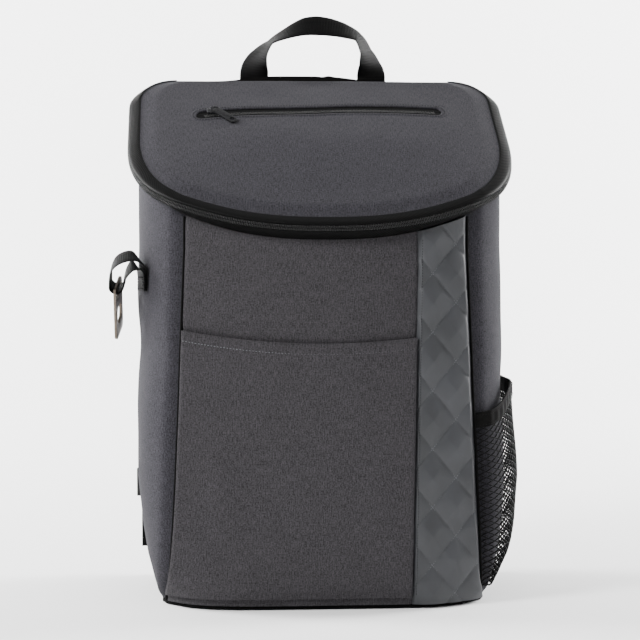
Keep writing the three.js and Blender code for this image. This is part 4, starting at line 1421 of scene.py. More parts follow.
        # A black cord in each groove, as painted shadow.
        piece = threads.knit("front_seam_painted_shadow", lines, self.seam_shadow_radius, LINING, 8)
        return finished(piece, LINING, Body.BAG)

    def build(self, threads: Threads) -> list[Piece]:
        """Builds the whole front."""
        return [self.panel(), self.pocket(), self.quilted_strip(), self.seam_groove_shadows(threads), *self.stitches()]


@dataclass
class SideWall:
    """One side panel with the turn at its front seam, a shallow dent and soft folds."""

    side: Side
    dent_at: float
    dent_depth: float
    dent_spread: float
    columns: int = 76
    rows: int = 110

    def dip(self, to_seam: Array, z: Array) -> Array:
        """How far the panel lies inside the outline."""
        turn = OUTLINE.seam_dip * (1 - ease(to_seam, 0, OUTLINE.seam_reach))
        away = (z / OUTLINE.height - self.dent_at) / self.dent_spread
        return turn + self.dent_depth * OUTLINE.wall * np.exp(-away * away)

    def build(self) -> Piece:
        """Builds the panel as a wall.

        Returns:
            The finished piece.
        """
        a = np.linspace(0, 1, self.columns + 1)[None, :]
        b = np.linspace(0, 1, self.rows + 1)[:, None]
        t = a if self.side is Side.LEFT else 1 - a
        top_plan = SIDES.at(t, np.full_like(t, OUTLINE.height), self.side)[0]
        top = LID.wall_top(top_plan[..., 0], top_plan[..., 1])
        z = OUTLINE.base + (top - OUTLINE.base) * b
        length = SIDES.length(z)
        clear = 0.3 / length + (1 - 0.6 / length) * t
        plan, outward = SIDES.at(clear, z, self.side)
        to_seam, run = (1 - clear) * length, clear * length
        seed = 20 if self.side is Side.LEFT else 30
        soft = ease(to_seam, 0, 25) * ease(run, 0, 20)
        swell = (0.9 * ripple(run, z, 110, seed) + 0.35 * ripple(run, z, 38, seed + 1)) * soft
        foot = 1.0 * (1 - ease(z - OUTLINE.base, 0, 7))
        out = swell - self.dip(to_seam, z) - foot - 0.8 * (1 - ease(top - z, 0, 6))
        uv = np.stack([self.side.value * run, z], -1)
        outer = raised(plan, outward, z, out)
        inner = raised(plan, outward, z, out * 0 - OUTLINE.wall - 2.2)
        node = f"gusset_{self.side.word}"
        piece = cloth_wall(f"{node}_cloth", outer, inner, uv)
        return finished(piece, MELANGE, Body.BAG, [node], "melange_cloth", Soft.PADDED, 0.6, LINING)


@dataclass
class BackAndBase:
    """The padded back panel of air mesh and the flat base."""

    wall: float = 6
    channel: float = 62
    cross_line: float = 92
    puff: float = 3.2

    def build(self) -> list[Piece]:
        """Builds both.

        Returns:
            The finished pieces.
        """
        top = OUTLINE.height - LID.slope * self.wall - LID.thickness - LID.gap
        z = np.linspace(OUTLINE.base, top, 121)[:, None]
        half = OUTLINE.section(z).half - OUTLINE.back_corner - 0.6
        a = np.linspace(1, -1, 71)[None, :]
        x = half * a
        to_channel = np.abs(np.abs(x) - self.channel / 2)
        to_edge = np.minimum(half - np.abs(x), np.minimum(z - OUTLINE.base, top - z))
        to_line = np.abs((z % self.cross_line) - self.cross_line / 2)
        pillow = (ease(to_channel, 0, 12) * ease(to_edge, 0, 14)) ** 0.6
        puff = self.puff * pillow * (0.75 + 0.25 * ease(to_line, 0, 10))
        y = np.broadcast_to(OUTLINE.back - 2.2 + puff, x.shape)
        zz = np.broadcast_to(z, x.shape)
        outer = np.stack([x, y, zz], -1)
        inner = np.stack([x, np.full_like(x, OUTLINE.back - self.wall), zz], -1)
        back = cloth_wall("back_panel_mesh", outer, inner, np.stack([-x, zz], -1))
        finished(back, AIR_MESH, Body.BAG, ["back_panel"], "lining_cloth", Soft.PADDED, 0.7, LINING)
        return [back, dressed_copy("base_panel", 0.8, 2, LINING, "lining_cloth")]


# Lid


@dataclass
class LidTop:
    """The padded lid with the slot of its zip pocket, and the bound seam behind it."""

    stitching: Stitching
    slot_length: float = 211
    slot_middle: float = 1.5
    slot_left: float = 24.5
    slot_right: float = 31
    slot_width: float = 14.6
    slot_end: float = 9
    lip: float = 6
    around: int = 330
    binding_tall: float = 15
    binding_deep: float = 1.7

    @property
    def tilt(self) -> float:
        """How the slot's depth changes along it."""
        return (self.slot_right - self.slot_left) / self.slot_length

    def on_lid(self, along: Array, across: Array, lift: Array) -> Array:
        """Points over the lid along its slot: across is uphill and lift is out.

        Args:
            along: Places along the slot.
            across: Places uphill of its middle.
            lift: How far out of the lid.

        Returns:
            Points in space.
        """
        x = self.slot_middle + along
        y = (self.slot_left + self.slot_right) / 2 + self.tilt * along + across * math.cos(LID.lean)
        z = LID.height(x, y) + self.swell(x, y)
        return np.stack([x, y - lift * math.sin(LID.lean), z + lift * math.cos(LID.lean)], -1)

    def swell(self, x: Array, y: Array) -> Array:
        """Small unevenness of the lid's cloth."""
        inside = 1 - ease(np.hypot(x / 150, y / 90), 0.75, 1.0)
        return (0.55 * ripple(x, y, 100, 41) + 0.2 * ripple(x, y, 34, 42)) * inside

    def end_share(self, along: Array) -> Array:
        """How wide the slot is at a place along it, as a share of its full width."""
        to_end = np.maximum(0, self.slot_length / 2 - np.abs(along))
        return np.sqrt(np.minimum(1, to_end / self.slot_end + 0.16))

    def sunk(self, x: Array, y: Array) -> Array:
        """How far the lid's own cloth lies lower under the slot.

        Args:
            x: Places across the bag.
            y: Depths.

        Returns:
            Distances inwards.
        """
        along = x - self.slot_middle
        middle = (self.slot_left + self.slot_right) / 2 + self.tilt * along
        across = np.abs(y - middle) / math.cos(LID.lean)
        wide = self.slot_width / 2 + 1.6
        ends = 1 - ease(np.abs(along), self.slot_length / 2 - 1, self.slot_length / 2 + 2)
        return 3.4 * (1 - ease(across, wide - 0.6, wide + 2.6)) * ends

    def shell(self) -> Piece:
        """The padded lid as rings from its middle to the rim.

        Returns:
            The finished piece.
        """
        plan, _ = RIM.plan(np.linspace(0, 1, self.around + 1))
        behind = 60
        back = plan[-1] + (plan[0] - plan[-1]) * np.linspace(0, 1, behind + 1)[1:-1, None]
        ring = np.concatenate([plan, back])
        shares = np.concatenate([np.linspace(0.015, 0.86, 62), np.linspace(0.88, 1.0, 16)])
        xy = ring[None] * shares[:, None, None]
        x, y = xy[..., 0], xy[..., 1]
        drop = LID.edge_drop * ease(shares, LID.round_over - 0.05, 1)[:, None]
        z = LID.height(x, y) + self.swell(x, y) - self.sunk(x, y) - drop
        top = np.concatenate([xy, z[..., None]], -1)
        low_shares = np.array([1.0, 0.66, 0.33, 0.015])
        low_xy = ring[None] * low_shares[:, None, None]
        low_z = LID.height(low_xy[..., 0], low_xy[..., 1]) - LID.thickness
        low = np.concatenate([low_xy, low_z[..., None]], -1)
        grid = np.concatenate([top, low])
        count = len(ring)
        index = np.arange(grid.shape[0] * count).reshape(grid.shape[0], count)
        nxt = np.roll(index, -1, axis=1)
        quads = np.stack([index[:-1], index[1:], nxt[1:], nxt[:-1]], -1).reshape(-1, 4)
        points = grid.reshape(-1, 3)
        top_middle, low_middle = len(points), len(points) + 1
        peak = LID.height(0.0, 0.0)
        middle = np.array([[0, 0, peak + self.swell(0.0, 0.0)], [0, 0, peak - LID.thickness]])
        fans = [[top_middle, index[0, k], nxt[0, k]] for k in range(count)]
        fans += [[low_middle, nxt[-1, k], index[-1, k]] for k in range(count)]
        points = np.concatenate([points, middle])
        uv = np.stack([points[:, 0], points[:, 1] / math.cos(LID.lean)], -1)
        piece = mesh_from("lid_cloth", points, quads.tolist() + fans, uv)
        return finished(piece, MELANGE, Body.BAG, ["lid_panel"], "melange_cloth", Soft.PADDED, 0.6)

    def slot_lip(self) -> Piece:
        """The cloth turned under round the slot.

        Returns:
            The finished piece.
        """
        half, wide = self.slot_length / 2, self.slot_width / 2
        turn = np.linspace(0, 2 * math.pi, 420, endpoint=False)
        straight = half - self.slot_end * 0.6
        flat, cosine = 1.35, np.cos(turn)
        into_end = np.clip((np.abs(cosine) - 1 / flat) / (1 - 1 / flat), 0, 1)
        along = straight * np.clip(cosine * flat, -1, 1) + (half - straight) * np.sign(cosine) * into_end
        end = np.clip((np.abs(along) - straight) / (half - straight), 0, 1)
        across = wide * np.sign(np.sin(turn)) * np.sqrt(np.maximum(0, 1 - end**2))
        out_along = np.sign(along) * end
        out_across = np.sign(np.sin(turn)) * (1 - end * 0.6)
        long = np.hypot(out_along, out_across)
        east, north = out_along / long, out_across / long
        row = lambda out, lift: self.on_lid(along + out * east, across + out * north, lift)
        section = [(-0.2, -1.6), (-0.25, -0.5), (0.1, 0.12), (0.8, 0.32), (2.2, 0.3), (self.lip - 1.6, 0.2)]
        section += [(self.lip, -0.5), (1.2, -1.7)]
        grid = np.array([row(out, lift) for out, lift in section])
        index = np.arange(grid.shape[0] * len(turn)).reshape(grid.shape[0], len(turn))
        ring = np.concatenate([index, index[:1]])
        nxt = np.roll(ring, -1, axis=1)
        quads = np.stack([ring[:-1], ring[1:], nxt[1:], nxt[:-1]], -1).reshape(-1, 4)
        points = grid.reshape(-1, 3)
        uv = np.stack([points[:, 0], points[:, 1] / math.cos(LID.lean)], -1)
        piece = mesh_from("lid_slot_lip", points, quads.tolist(), uv)
        form = bmesh.new()
        form.from_mesh(piece.data)
        bmesh.ops.recalc_face_normals(form, faces=form.faces)
        form.to_mesh(piece.data)
        form.free()
        line = row(2.6, 0.5)
        closed = np.concatenate([line, line[:1]])
        self.stitching.sew("slot_stitches", [closed], THREAD_DARK, pitch=2.4, thick=0.3)
        return finished(piece, MELANGE, Body.BAG)

    def binding(self) -> Piece:
        """The bound seam behind the lid, with one small wrinkle.

        Returns:
            The finished piece.
        """
        section = OUTLINE.section(OUTLINE.height)
        half = float(section.half) - OUTLINE.back_corner
        x = np.linspace(half, -half, 181)[None, :]
        b = np.linspace(0, 1, 9)[:, None]
        low = OUTLINE.height + 0.3 - self.binding_tall
        wrinkle = 1.2 * np.exp(-(((x - 14) / 3.0) ** 2)) - 0.7 * np.exp(-(((x - 8) / 3.5) ** 2))
        near_handle = np.exp(-(((x + 12) / 52) ** 4))
        tall = self.binding_tall - 4.2 * (1 - near_handle) + 0.5 * near_handle + wrinkle * 0.6
        z = low + tall * b
        bulge = 0.8 * np.sin(math.pi * b) + 0.25 * ripple(x, z, 24, 51)
        back = np.stack([x + 0 * z, OUTLINE.back + 0.5 + self.binding_deep + bulge, z], -1)
        front = np.stack([x + 0 * z, OUTLINE.back + 0.3 + 0 * z, z], -1)
        piece = cloth_wall("back_edge_binding", back, front, np.stack([-x + 0 * z, z], -1))
        return finished(piece, ELASTIC, Body.BAG, ["back_binding"], "zip_tape")

    def build(self) -> list[Piece]:
        """Builds the lid."""
        return [self.shell(), self.slot_lip(), self.binding()]


@dataclass
class MainZip:
    """The main zip round the rim: two tapes, the coil between them and its slider."""

    coil: ZipCoil
    tape: float = 1.2
    steps: int = 420

    def band(
        self, name: str, outer: Sequence[tuple[Array, Array]], inner: Sequence[tuple[Array, Array]]
    ) -> Piece:
        """A band round the rim through rows of out and down, from low to high.

        Args:
            name: The piece's name.
            outer: Out and down of each row of the outer face.
            inner: The same for the inner face.

        Returns:
            The finished piece.
        """
        share = np.linspace(0, 1, self.steps + 1)
        rows = lambda points: np.array([RIM.point(share, out, down) for out, down in points])
        outer_grid, inner_grid = rows(outer), rows(inner)
        run = run_along(outer_grid[:, 0])
        uv = np.stack(np.broadcast_arrays(share[None, :] * RIM.length, run[:, None]), -1)
        return cloth_wall(name, outer_grid, inner_grid, uv)

    def lid_tape(self) -> Piece:
        """The tape from the lid down to the teeth, slightly bulged.

        Returns:
            The finished piece.
        """
        t = np.linspace(0, 1, 9)
        low_out, low_down = LID.stand - 0.3, LID.teeth_start - 0.35
        out = low_out + (0.2 - low_out) * ease(t, 0.1, 1.05) ** 0.8
        down = low_down + (LID.edge_drop - 0.9 - low_down) * np.sin(t * math.pi / 2) ** 1.1
        outer = list(zip(out, down))
        inner = [(o - self.tape * 0.9, d + self.tape * 0.5) for o, d in outer]
        piece = self.band("lid_zip_tape_woven", outer, inner)
        return finished(piece, ZIP_TAPE, Body.BAG, ["lid_zip_tape"], "zip_tape")

    def teeth(self) -> Piece:
        """The strip under the coil and the coil's two rows.

        Returns:
            The finished piece.
        """
        low, high = LID.teeth_start + LID.teeth, LID.teeth_start
        face = LID.stand - 0.55
        outer = [(face, low), (face - 0.1, (low + high) / 2), (face, high)]
        piece = self.band("main_zip_chain_tape", outer, [(o - 1.4, d) for o, d in outer])
        finished(piece, ZIP_TAPE, Body.BAG, ["main_zip_teeth"], "black_plastic")
        share = np.linspace(0.004, 0.996, 900)
        _, outward = RIM.plan(share)
        ups = np.concatenate([outward, np.zeros((len(share), 1))], -1)
        pairs = ((1.35, 0.0), (3.6, 0.001))
        rows = [RIM.point(share + shift, LID.stand - 0.35, high + down) for down, shift in pairs]
        chain = self.coil.lay("main_zip_coil", rows, [ups, ups], 1.15)
        return finished(chain, COIL, Body.BAG, slot="black_plastic")

    def body_tape(self) -> Piece:
        """The tape from the teeth back in to the body.

        Returns:
            The finished piece.
        """
        share = np.linspace(0, 1, self.steps + 1)
        plan, _ = RIM.plan(share)
        low = LID.tape_end(plan[:, 0], plan[:, 1])
        start = LID.body_tape_start - 0.15
        t = np.linspace(0, 1, 7)
        rows = [(self.tape / 2 - 0.4 + (LID.stand - 0.6) * s**0.75, low + (start - low) * s) for s in t]
        inner = [(out - self.tape * 0.8, down + self.tape * 0.4 * (1 - s)) for (out, down), s in zip(rows, t)]
        piece = self.band("body_zip_tape_woven", rows, inner)
        return finished(piece, ZIP_TAPE, Body.BAG, ["body_zip_tape"], "zip_tape")

    def build(self) -> list[Piece]:
        """Builds the zip."""
        slider = dressed_copy("main_zip_slider", 0.7, 3, GUNMETAL, "gunmetal")
        return [self.lid_tape(), self.teeth(), self.body_tape(), slider]


@dataclass
class PocketZip:
    """The lid pocket's zip in its slot: tape, coil, slider and the pull that turns."""

    lid: LidTop
    coil: ZipCoil
    coil_across: float = -2.2

    def build(self) -> list[Piece]:
        """Builds the zip.

        Returns:
            The finished pieces.
        """
        lid = self.lid
        half = lid.slot_length / 2 - 0.3
        along = np.linspace(-half, half, 181)[None, :]
        across = np.linspace(-1, 1, 13)[:, None]
        wide = (lid.slot_width / 2 - 0.3) * lid.end_share(along)
        lift = -0.95 + 0.12 * np.sin(across * math.pi * 2.0)
        outer = lid.on_lid(along + 0 * across, across * wide, lift)
        inner = lid.on_lid(along + 0 * across, across * wide, lift - 0.5)
        uv = np.stack(np.broadcast_arrays(along, across * wide), -1)
        tape = cloth_wall("pocket_zip_tape_woven", outer, inner, uv)
        finished(tape, ZIP_TAPE, Body.BAG, ["pocket_zip_tape"], "zip_tape")
        run = np.linspace(-half + 7, half - 7, 300)
        away = np.array([0.0, -math.sin(LID.lean), math.cos(LID.lean)])
        pairs = ((1.05, 0.0), (-1.05, 0.65))
        rows = [lid.on_lid(run + shift, self.coil_across + place, -0.5) for place, shift in pairs]
        chain = self.coil.lay("pocket_zip_coil", rows, [np.tile(away, (len(run), 1))] * 2, 1.1)
        finished(chain, COIL, Body.BAG, ["pocket_zip_teeth"], "black_plastic")
        slider = dressed_copy("pocket_zip_slider", 0.35, 2, GUNMETAL, "gunmetal")
        pull = dressed_copy("pocket_zip_pull", 0.3, 2, GUNMETAL, "gunmetal", Body.ZIP_PULL)
        return [tape, chain, slider, pull]


# Webbing, handle, loop and opener


@dataclass(frozen=True)
class CarryHandle:
    """The webbing handle behind the lid: its width turns to the back at the two bends."""

    width: float = 25
    thick: float = 1.8
    y: float = 94.5

    # The middle line seen from the front, and how far the width turns to the back, in degrees.
    line: tuple[tuple[float, float, float], ...] = (
        (-51.5, 425.0, 0), (-52.0, 442.0, 0), (-50.6, 453.0, 34), (-46.2, 462.5, 60), (-37.6, 471.8, 78),
        (-22.0, 480.0, 64), (-6.0, 485.8, 47), (4.0, 486.6, 43), (14.5, 485.6, 46), (28.0, 482.4, 54),
        (40.6, 476.6, 66), (47.4, 464.4, 60), (50.6, 453.5, 38), (52.0, 442.0, 0), (51.5, 425.0, 0),
    )

    def build(self) -> Piece:
        """Builds the handle.

        Returns:
            The finished piece.
        """
        rows = np.array(self.line)
        points = [(x, self.y, z) for x, z, _ in self.line]
        line = catmull_rom(points, 20)
        places = np.linspace(0, len(rows) - 1, len(line))
        lean = np.radians(np.interp(places, np.arange(len(rows)), rows[:, 2]))
        along = tangents(line)
        in_plane = np.stack([-along[:, 2], np.zeros(len(line)), along[:, 0]], 1)
        across = in_plane * np.cos(lean)[:, None] + np.array([0, 1, 0]) * np.sin(lean)[:, None]
        band = Ribbon(self.width, self.thick + 0.3, rib_depth=0.34, columns=10)
        piece = band.build("carry_handle_webbing", line, across)
        return finished(piece, WEBBING, Body.BAG, ["carry_handle"], "webbing")


@dataclass(frozen=True)
class SideLoop:
    """The webbing loop on the left side and the steel opener that hangs in it."""

    width: float = 20
    thick: float = 1.5
    y: float = -38
    sewn: float = 30
    top: float = 286.5
    out: float = 28
    drop: float = 30
    lean: float = 24
    fold_turn: float = 6
    bulge: float = 0.2
    gap: float = 0.3

    # Over the top and round the fold: shares of out from the side, and of drop from the top.
    line: tuple[tuple[float, float], ...] = (
        (0.1, 0.2), (0.36, 0), (0.77, 0.12), (0.95, 0.353), (1, 0.735), (0.985, 0.89), (0.8, 1),
        (0.615, 0.89), (0.6, 0.735), (0.5, 0.456), (0.34, 0.294), (0.18, 0.38),
    )

    def seat(self) -> tuple[Array, Array]:
        """Plan point and outward direction of the side where the loop is sewn.

        Returns:
            The point and the direction.
        """
        t = np.linspace(0, 1, 800)
        plan, outward = SIDES.at(t, np.full_like(t, self.top - self.sewn), Side.LEFT)
        place = int(np.argmax(plan[:, 1] <= self.y))
        return plan[place], outward[place]

    def leaned(self, x: float, z: float) -> Place:
        """A point of the free part, turned about the sewn end so that its front edge hangs lower."""
        lean, rise = math.radians(self.lean), z - (self.top - self.sewn / 2)
        return (x, self.y - rise * math.sin(lean), z - rise + rise * math.cos(lean))

    def build(self, stitching: Stitching) -> list[Piece]:
        """Builds the loop, its box of stitches and the opener.

        Args:
            stitching: What sews the stitches.

        Returns:
            The finished pieces.
        """
        plan, outward = self.seat()
        off = self.bulge + self.gap + self.thick / 2
        sewn = lambda down, out: (*(plan + outward * out), self.top - down)
        free = [self.leaned(plan[0] - o * self.out, self.top - d * self.drop) for o, d in self.line]
        outer = off + self.thick + self.gap
        points = [sewn(self.sewn, off), sewn(self.sewn / 2, off), *free]
        points += [sewn(self.sewn * 0.6, outer), sewn(self.sewn, outer)]
        per_span = 14
        line = catmull_rom(points, per_span)
        place = np.arange(len(line)) / per_span
        to_end = np.minimum(place, len(points) - 1 - place)
        lean = math.radians(self.lean) * ease(to_end, 1, 3)
        root_turn, fold_turn = math.asin(-outward[1]), math.radians(self.fold_turn)
        turn = root_turn - (root_turn + fold_turn) * ease(to_end, 1, 6)
        across = np.stack([-np.sin(turn) * np.cos(lean), np.cos(turn) * np.cos(lean), np.sin(lean)], 1)
        band = Ribbon(self.width, self.thick, rib_pitch=2.0, rib_depth=0.3, columns=8)
        loop = band.build("opener_loop_webbing", line, across)
        finished(loop, WEBBING, Body.BAG, ["opener_loop"], "webbing")
        tangent = np.array([-outward[1], outward[0]])
        half = self.width / 2 - 2.5
        z0, z1 = self.top - self.sewn + 2, self.top - self.sewn * 0.6 - 1
        corners = [(-half, z0), (half, z0), (half, z1), (-half, z1), (-half, z0)]
        face = plan + outward * (outer + self.thick / 2)
        box = np.array([(*(face + tangent * a), z) for a, z in corners])
        stitching.sew("loop_stitches", [even_pitch(box, 0.5)], THREAD_DARK, pitch=2.4)
        return [loop, dressed_copy("bottle_opener", 0.45, 3, STEEL, "steel", Body.OPENER)]


# Net pocket


@dataclass
class NetPocket:
    """The diamond net on the right side, with the elastic binding of its mouth."""

    threads: Threads
    top: float = 180
    front_drop: float = 22
    bottom: float = 12
    stand: float = 11
    mouth_stand: float = 5.6
    sewn_stand: float = 0.5
    back_edge: float = 0.17
    front_edge: float = 0.99
    binding_tall: float = 12.5
    binding_thick: float = 1.4
    binding_long: float = 160
    gap: float = 0.3
    pitch: float = 4.3
    diamond: float = 6.2
    cord: float = 0.62

    def mouth(self, t: Array) -> Array:
        """Height of the mouth at a share from the back seam."""
        return self.top - self.front_drop * ease(t, 0.6, 1)

    def standing(self, t: Array, up: Array) -> Array:
        """How far the net stands off the side."""
        round_share = np.sin(math.pi * np.minimum(1, t * 1.02 + 0.01)) ** 0.5
        full = (self.stand + (self.mouth_stand - self.stand) * ease(up, 0.55, 1)) * ease(up, -0.12, 0.3)
        return self.sewn_stand + (full - self.sewn_stand) * round_share

    def over(self, t: Array, z: Array, out: Array) -> Array:
        """A point over the right side panel.

        Args:
            t: Shares from the back seam.
            z: Heights.
            out: How far out.

        Returns:
            Points in space.
        """
        t, z, out = np.broadcast_arrays(t, z, out)
        length = SIDES.length(z)
        share = self.back_edge + (self.front_edge - self.back_edge) * t
        plan, outward = SIDES.at(share, z, Side.RIGHT)
        turn = OUTLINE.seam_dip * (1 - ease((1 - share) * length, 0, OUTLINE.seam_reach))
        return raised(plan, outward, z, out - turn)

    def net(self) -> Piece:
        """The net: waves of cord that touch at every turn.

        Returns:
            The finished piece.
        """
        width = float(SIDES.length(100.0)) * (self.front_edge - self.back_edge)
        count = round(width / self.pitch)
        rows = round((self.top - self.bottom) / (self.diamond / 2))
        up = np.linspace(0, 1, rows * 2 + 1)
        wave = 0.5 - 0.5 * np.cos(math.pi * up * rows)
        lines = []
        for k in range(count + 1):
            sway = wave if k % 2 else 1 - wave
            t = np.clip((k - 0.5 + sway) / count, 0.002, 0.998)
            z = self.bottom + (self.mouth(t) - self.binding_tall + 1.5 - self.bottom) * up
            soft = 0.5 * ripple(t * width, z, 60, 61)
            out = self.gap + self.standing(t, up) + self.cord + soft * ease(up, 0, 0.2)
            lines.append(self.over(t, z, out))
        for t in (0.004, 0.996):
            z = self.bottom + (self.mouth(np.array(t)) - self.binding_tall - self.bottom) * up
            lines.append(self.over(t, z, self.gap + self.standing(t, up) + self.cord))
        across = np.linspace(0.004, 0.996, 160)
        lines.append(self.over(across, self.bottom + 0.5, self.gap + self.standing(across, 0) + self.cord))
        piece = self.threads.knit("net_pocket_net", lines, self.cord, NET_CORD, 5)
        return finished(piece, NET_CORD, Body.BAG, ["net_pocket"], "net")

    def binding(self) -> Piece:
        """The elastic folded over the net's edge.

        Returns:
            The finished piece.
        """
        t = 1 - np.linspace(0, 1, 161)[None, :]
        b = np.linspace(0, 1, 13)[:, None]
        z = self.mouth(t) - self.binding_tall * (1 - b)
        run = t * self.binding_long
        gathered = 0.35 * np.sin(t * 150) * np.sin(math.pi * b)
        gathered = gathered + 0.5 * ripple(run, z, 22, 71) * ease(b, 0, 0.4)
        thick = self.binding_thick * (0.55 + 0.45 * np.sin(math.pi * b) ** 0.4)
        stand = self.gap + self.standing(t, np.ones_like(t))
        outer = self.over(t, z, stand + thick + 0.4 + gathered)
        inner = self.over(t, z, stand + gathered * 0.5)
        uv = np.stack(np.broadcast_arrays(run, z), -1)
        piece = cloth_wall("net_edge_elastic", outer, inner, uv)
        return finished(piece, ELASTIC, Body.BAG, ["net_binding"], "zip_tape")

    def stitches(self, stitching: Stitching) -> Piece:
        """Two rows of stitches along the elastic.

        Args:
            stitching: What sews the stitches.

        Returns:
            The finished piece.
        """
        t = np.linspace(0.01, 0.99, 160)
        stand = self.gap + self.standing(t, np.ones_like(t)) + self.binding_thick + 0.75
        rows = [self.over(t, self.mouth(t) - self.binding_tall + up, stand) for up in (2.0, 10.2)]
        return stitching.sew("net_edge_stitches", rows, THREAD_DARK, pitch=2.4, thick=0.3)


# Shoulder straps


@dataclass
class ShoulderStraps:
    """The two padded straps with their buckles and webbing, and the yoke over their tops."""

    threads: Threads
    stitching: Stitching
    top: float = 396
    length: float = 262
    width: float = 62
    end_width: float = 46
    thick: float = 9
    root_x: float = 44
    end_x: float = 118
    hang: float = 33
    web: float = 23.5
    web_thick: float = 1.8
    tail: float = 46
    bar: float = 3.6
    gap: float = 0.3

    # The middle line: shares of the length down and of the hang out.
    line: tuple[tuple[float, float], ...] = (
        (0, 0), (0.08, 0.04), (0.17, 0.36), (0.28, 0.8), (0.45, 1), (0.65, 0.93), (0.85, 0.55), (1, 0.2),
    )

    @property
    def strap_y(self) -> float:
        """Depth of the padded strap's middle line at its top."""
        return OUTLINE.back + 3 * self.gap + 2 + self.thick / 2

    def middle(self, side: Side) -> Array:
        """The padded strap's middle line."""
        points = []
        for down, out in self.line:
            x = self.root_x + (self.end_x - self.root_x) * down**1.25
            points.append((side.value * x, self.strap_y + out * self.hang, self.top - self.length * down))
        return catmull_rom(points, 24)

    def pad(self, side: Side) -> Piece:
        """The padded strap: canvas outside, air mesh inside, bound at its edge.

        Args:
            side: Which side of the bag.

        Returns:
            The finished piece.
        """
        line, _ = even_steps(self.middle(side), 150)
        share = np.linspace(0, 1, len(line))
        width = self.width + (self.end_width - self.width) * ease(share, 0.3, 0.95)
        along = tangents(line)
        wide = np.array([1.0, 0, 0]) - along * along[:, :1]
        wide /= np.linalg.norm(wide, axis=1, keepdims=True)
        normal = np.cross(along, wide)
        v = np.sin(np.linspace(-math.pi / 2, math.pi / 2, 31)) / 2
        round_off = (1 - np.abs(2 * v) ** 4) ** 0.6 * 0.82 + 0.18
        ends = (1 - np.abs(2 * share - 1) ** 14) ** 0.5 * 0.75 + 0.25
        high = self.thick / 2 * round_off[None, :] * ends[:, None]
        across, down = v[None, :] * width[:, None], share[:, None] * self.length
        swell = 0.5 * ripple(across, down, 70, 80 + side.value)
        spread = line[:, None] + wide[:, None] * across[..., None]
        outer = spread - normal[:, None] * (high + swell * round_off[None, :])[..., None]
        inner = spread + normal[:, None] * high[..., None]
        uv = np.stack(np.broadcast_arrays(across, down), -1)
        node = f"shoulder_strap_{side.word}"
        piece = cloth_wall(f"{node}_pad", inner[:, ::-1], outer[:, ::-1], uv)
        finished(piece, MELANGE, Body.BAG, [node], "melange_cloth", Soft.PADDED, 0.8, AIR_MESH)
        rim = np.concatenate([spread[:, 0], spread[-1], spread[::-1, -1], spread[0, ::-1]])
        edge = self.threads.knit(f"{node}_edge", [even_pitch(rim, 2.0)], 1.5, ELASTIC, 8)
        finished(edge, ELASTIC, Body.BAG)
        return piece

    def round_bar(self, lock: Vector, z: float, up: float, turn: float) -> list[Place]:
        """Points of webbing round a buckle's bar."""
        angles = np.radians([0, 45, 90, 135, 180])
        return [(lock.x, lock.y + turn * math.cos(a), z + up * turn * math.sin(a)) for a in angles]

    def hardware(self, side: Side) -> list[Piece]:
        """The buckle with its two pieces of webbing, and the anchor in the base seam.

        Args:
            side: Which side of the bag.

        Returns:
            The finished pieces.
        """
        word = side.word
        low, high = (v * 1000 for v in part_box(f"strap_buckle_{word}"))
        lock = (low + high) / 2
        deep, bar = high.y - low.y, self.bar
        turn = math.hypot(deep, bar) / 2 + self.gap + self.web_thick / 2
        strap = self.middle(side)
        way = tangents(strap)
        off = self.thick / 2 + 2 * self.gap + self.web_thick / 2
        sewn_at = [round(t * (len(strap) - 1)) for t in (0.92, 0.96, 1)]
        on_strap = [tuple(strap[k] + off * unit(0, -way[k][2], way[k][1])) for k in sewn_at]
        tab_points = [*on_strap, (lock.x, lock.y + turn, high.z + 2.5 * bar)]
        tab_points += self.round_bar(lock, high.z - bar / 2, -1, turn)
        tab_line = catmull_rom([*tab_points, (lock.x, lock.y - turn, high.z + 2 * bar)], 14)
        band = Ribbon(self.web, self.web_thick, rib_pitch=2.4, rib_depth=0.25)
        tab = band.build(f"strap_tab_{word}_webbing", tab_line, (1, 0, 0))
        finished(tab, WEBBING, Body.BAG, [f"strap_tab_{word}"], "webbing")
        a_low, a_high = (v * 1000 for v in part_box(f"strap_anchor_{word}"))
        anchor = (a_low + a_high) / 2
        behind = a_high.y + 2 * self.gap + self.web_thick / 2
        out_y = lock.y + turn + 1.1
        a_tall = a_high.z - a_low.z
        web_points = [(lock.x, out_y, low.z - self.tail), (lock.x, out_y, low.z - self.tail * 0.4)]
        web_points += self.round_bar(lock, low.z + bar / 2, 1, turn)
        web_points += [(lock.x, lock.y - turn, low.z - 1.7 * bar)]
        web_points += [(anchor.x + side.value * 4, behind, anchor.z + a_tall * 0.4)]
        web_line = catmull_rom([*web_points, (anchor.x, behind, anchor.z - a_tall * 0.3)], 14)
        web = band.build(f"strap_webbing_{word}_webbing", web_line, (1, 0, 0))
        finished(web, WEBBING, Body.BAG, [f"strap_webbing_{word}"], "webbing")
        buckle = dressed_copy(f"strap_buckle_{word}", 0.8, 3, BUCKLE, "black_plastic")
        holder = dressed_copy(f"strap_anchor_{word}", 0.6, 2, ELASTIC, "webbing")
        return [tab, web, buckle, holder]

    def yoke(self) -> Piece:
        """The cloth sewn over the straps' upper ends.

        Returns:
            The finished piece.
        """
        piece = dressed_copy("strap_yoke", 0.7, 2, COATED, "coated_cloth")
        low, high = (v * 1000 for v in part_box("strap_yoke"))
        inset = 3.0
        x0, x1, z0, z1 = low.x + inset, high.x - inset, low.z + inset, high.z - inset
        box = np.array([(x, high.y + 0.1, z) for x, z in ((x0, z0), (x1, z0), (x1, z1), (x0, z1), (x0, z0))])
        self.stitching.sew("yoke_stitches", [even_pitch(box, 0.5)], THREAD_GREY, pitch=2.6)
        return piece

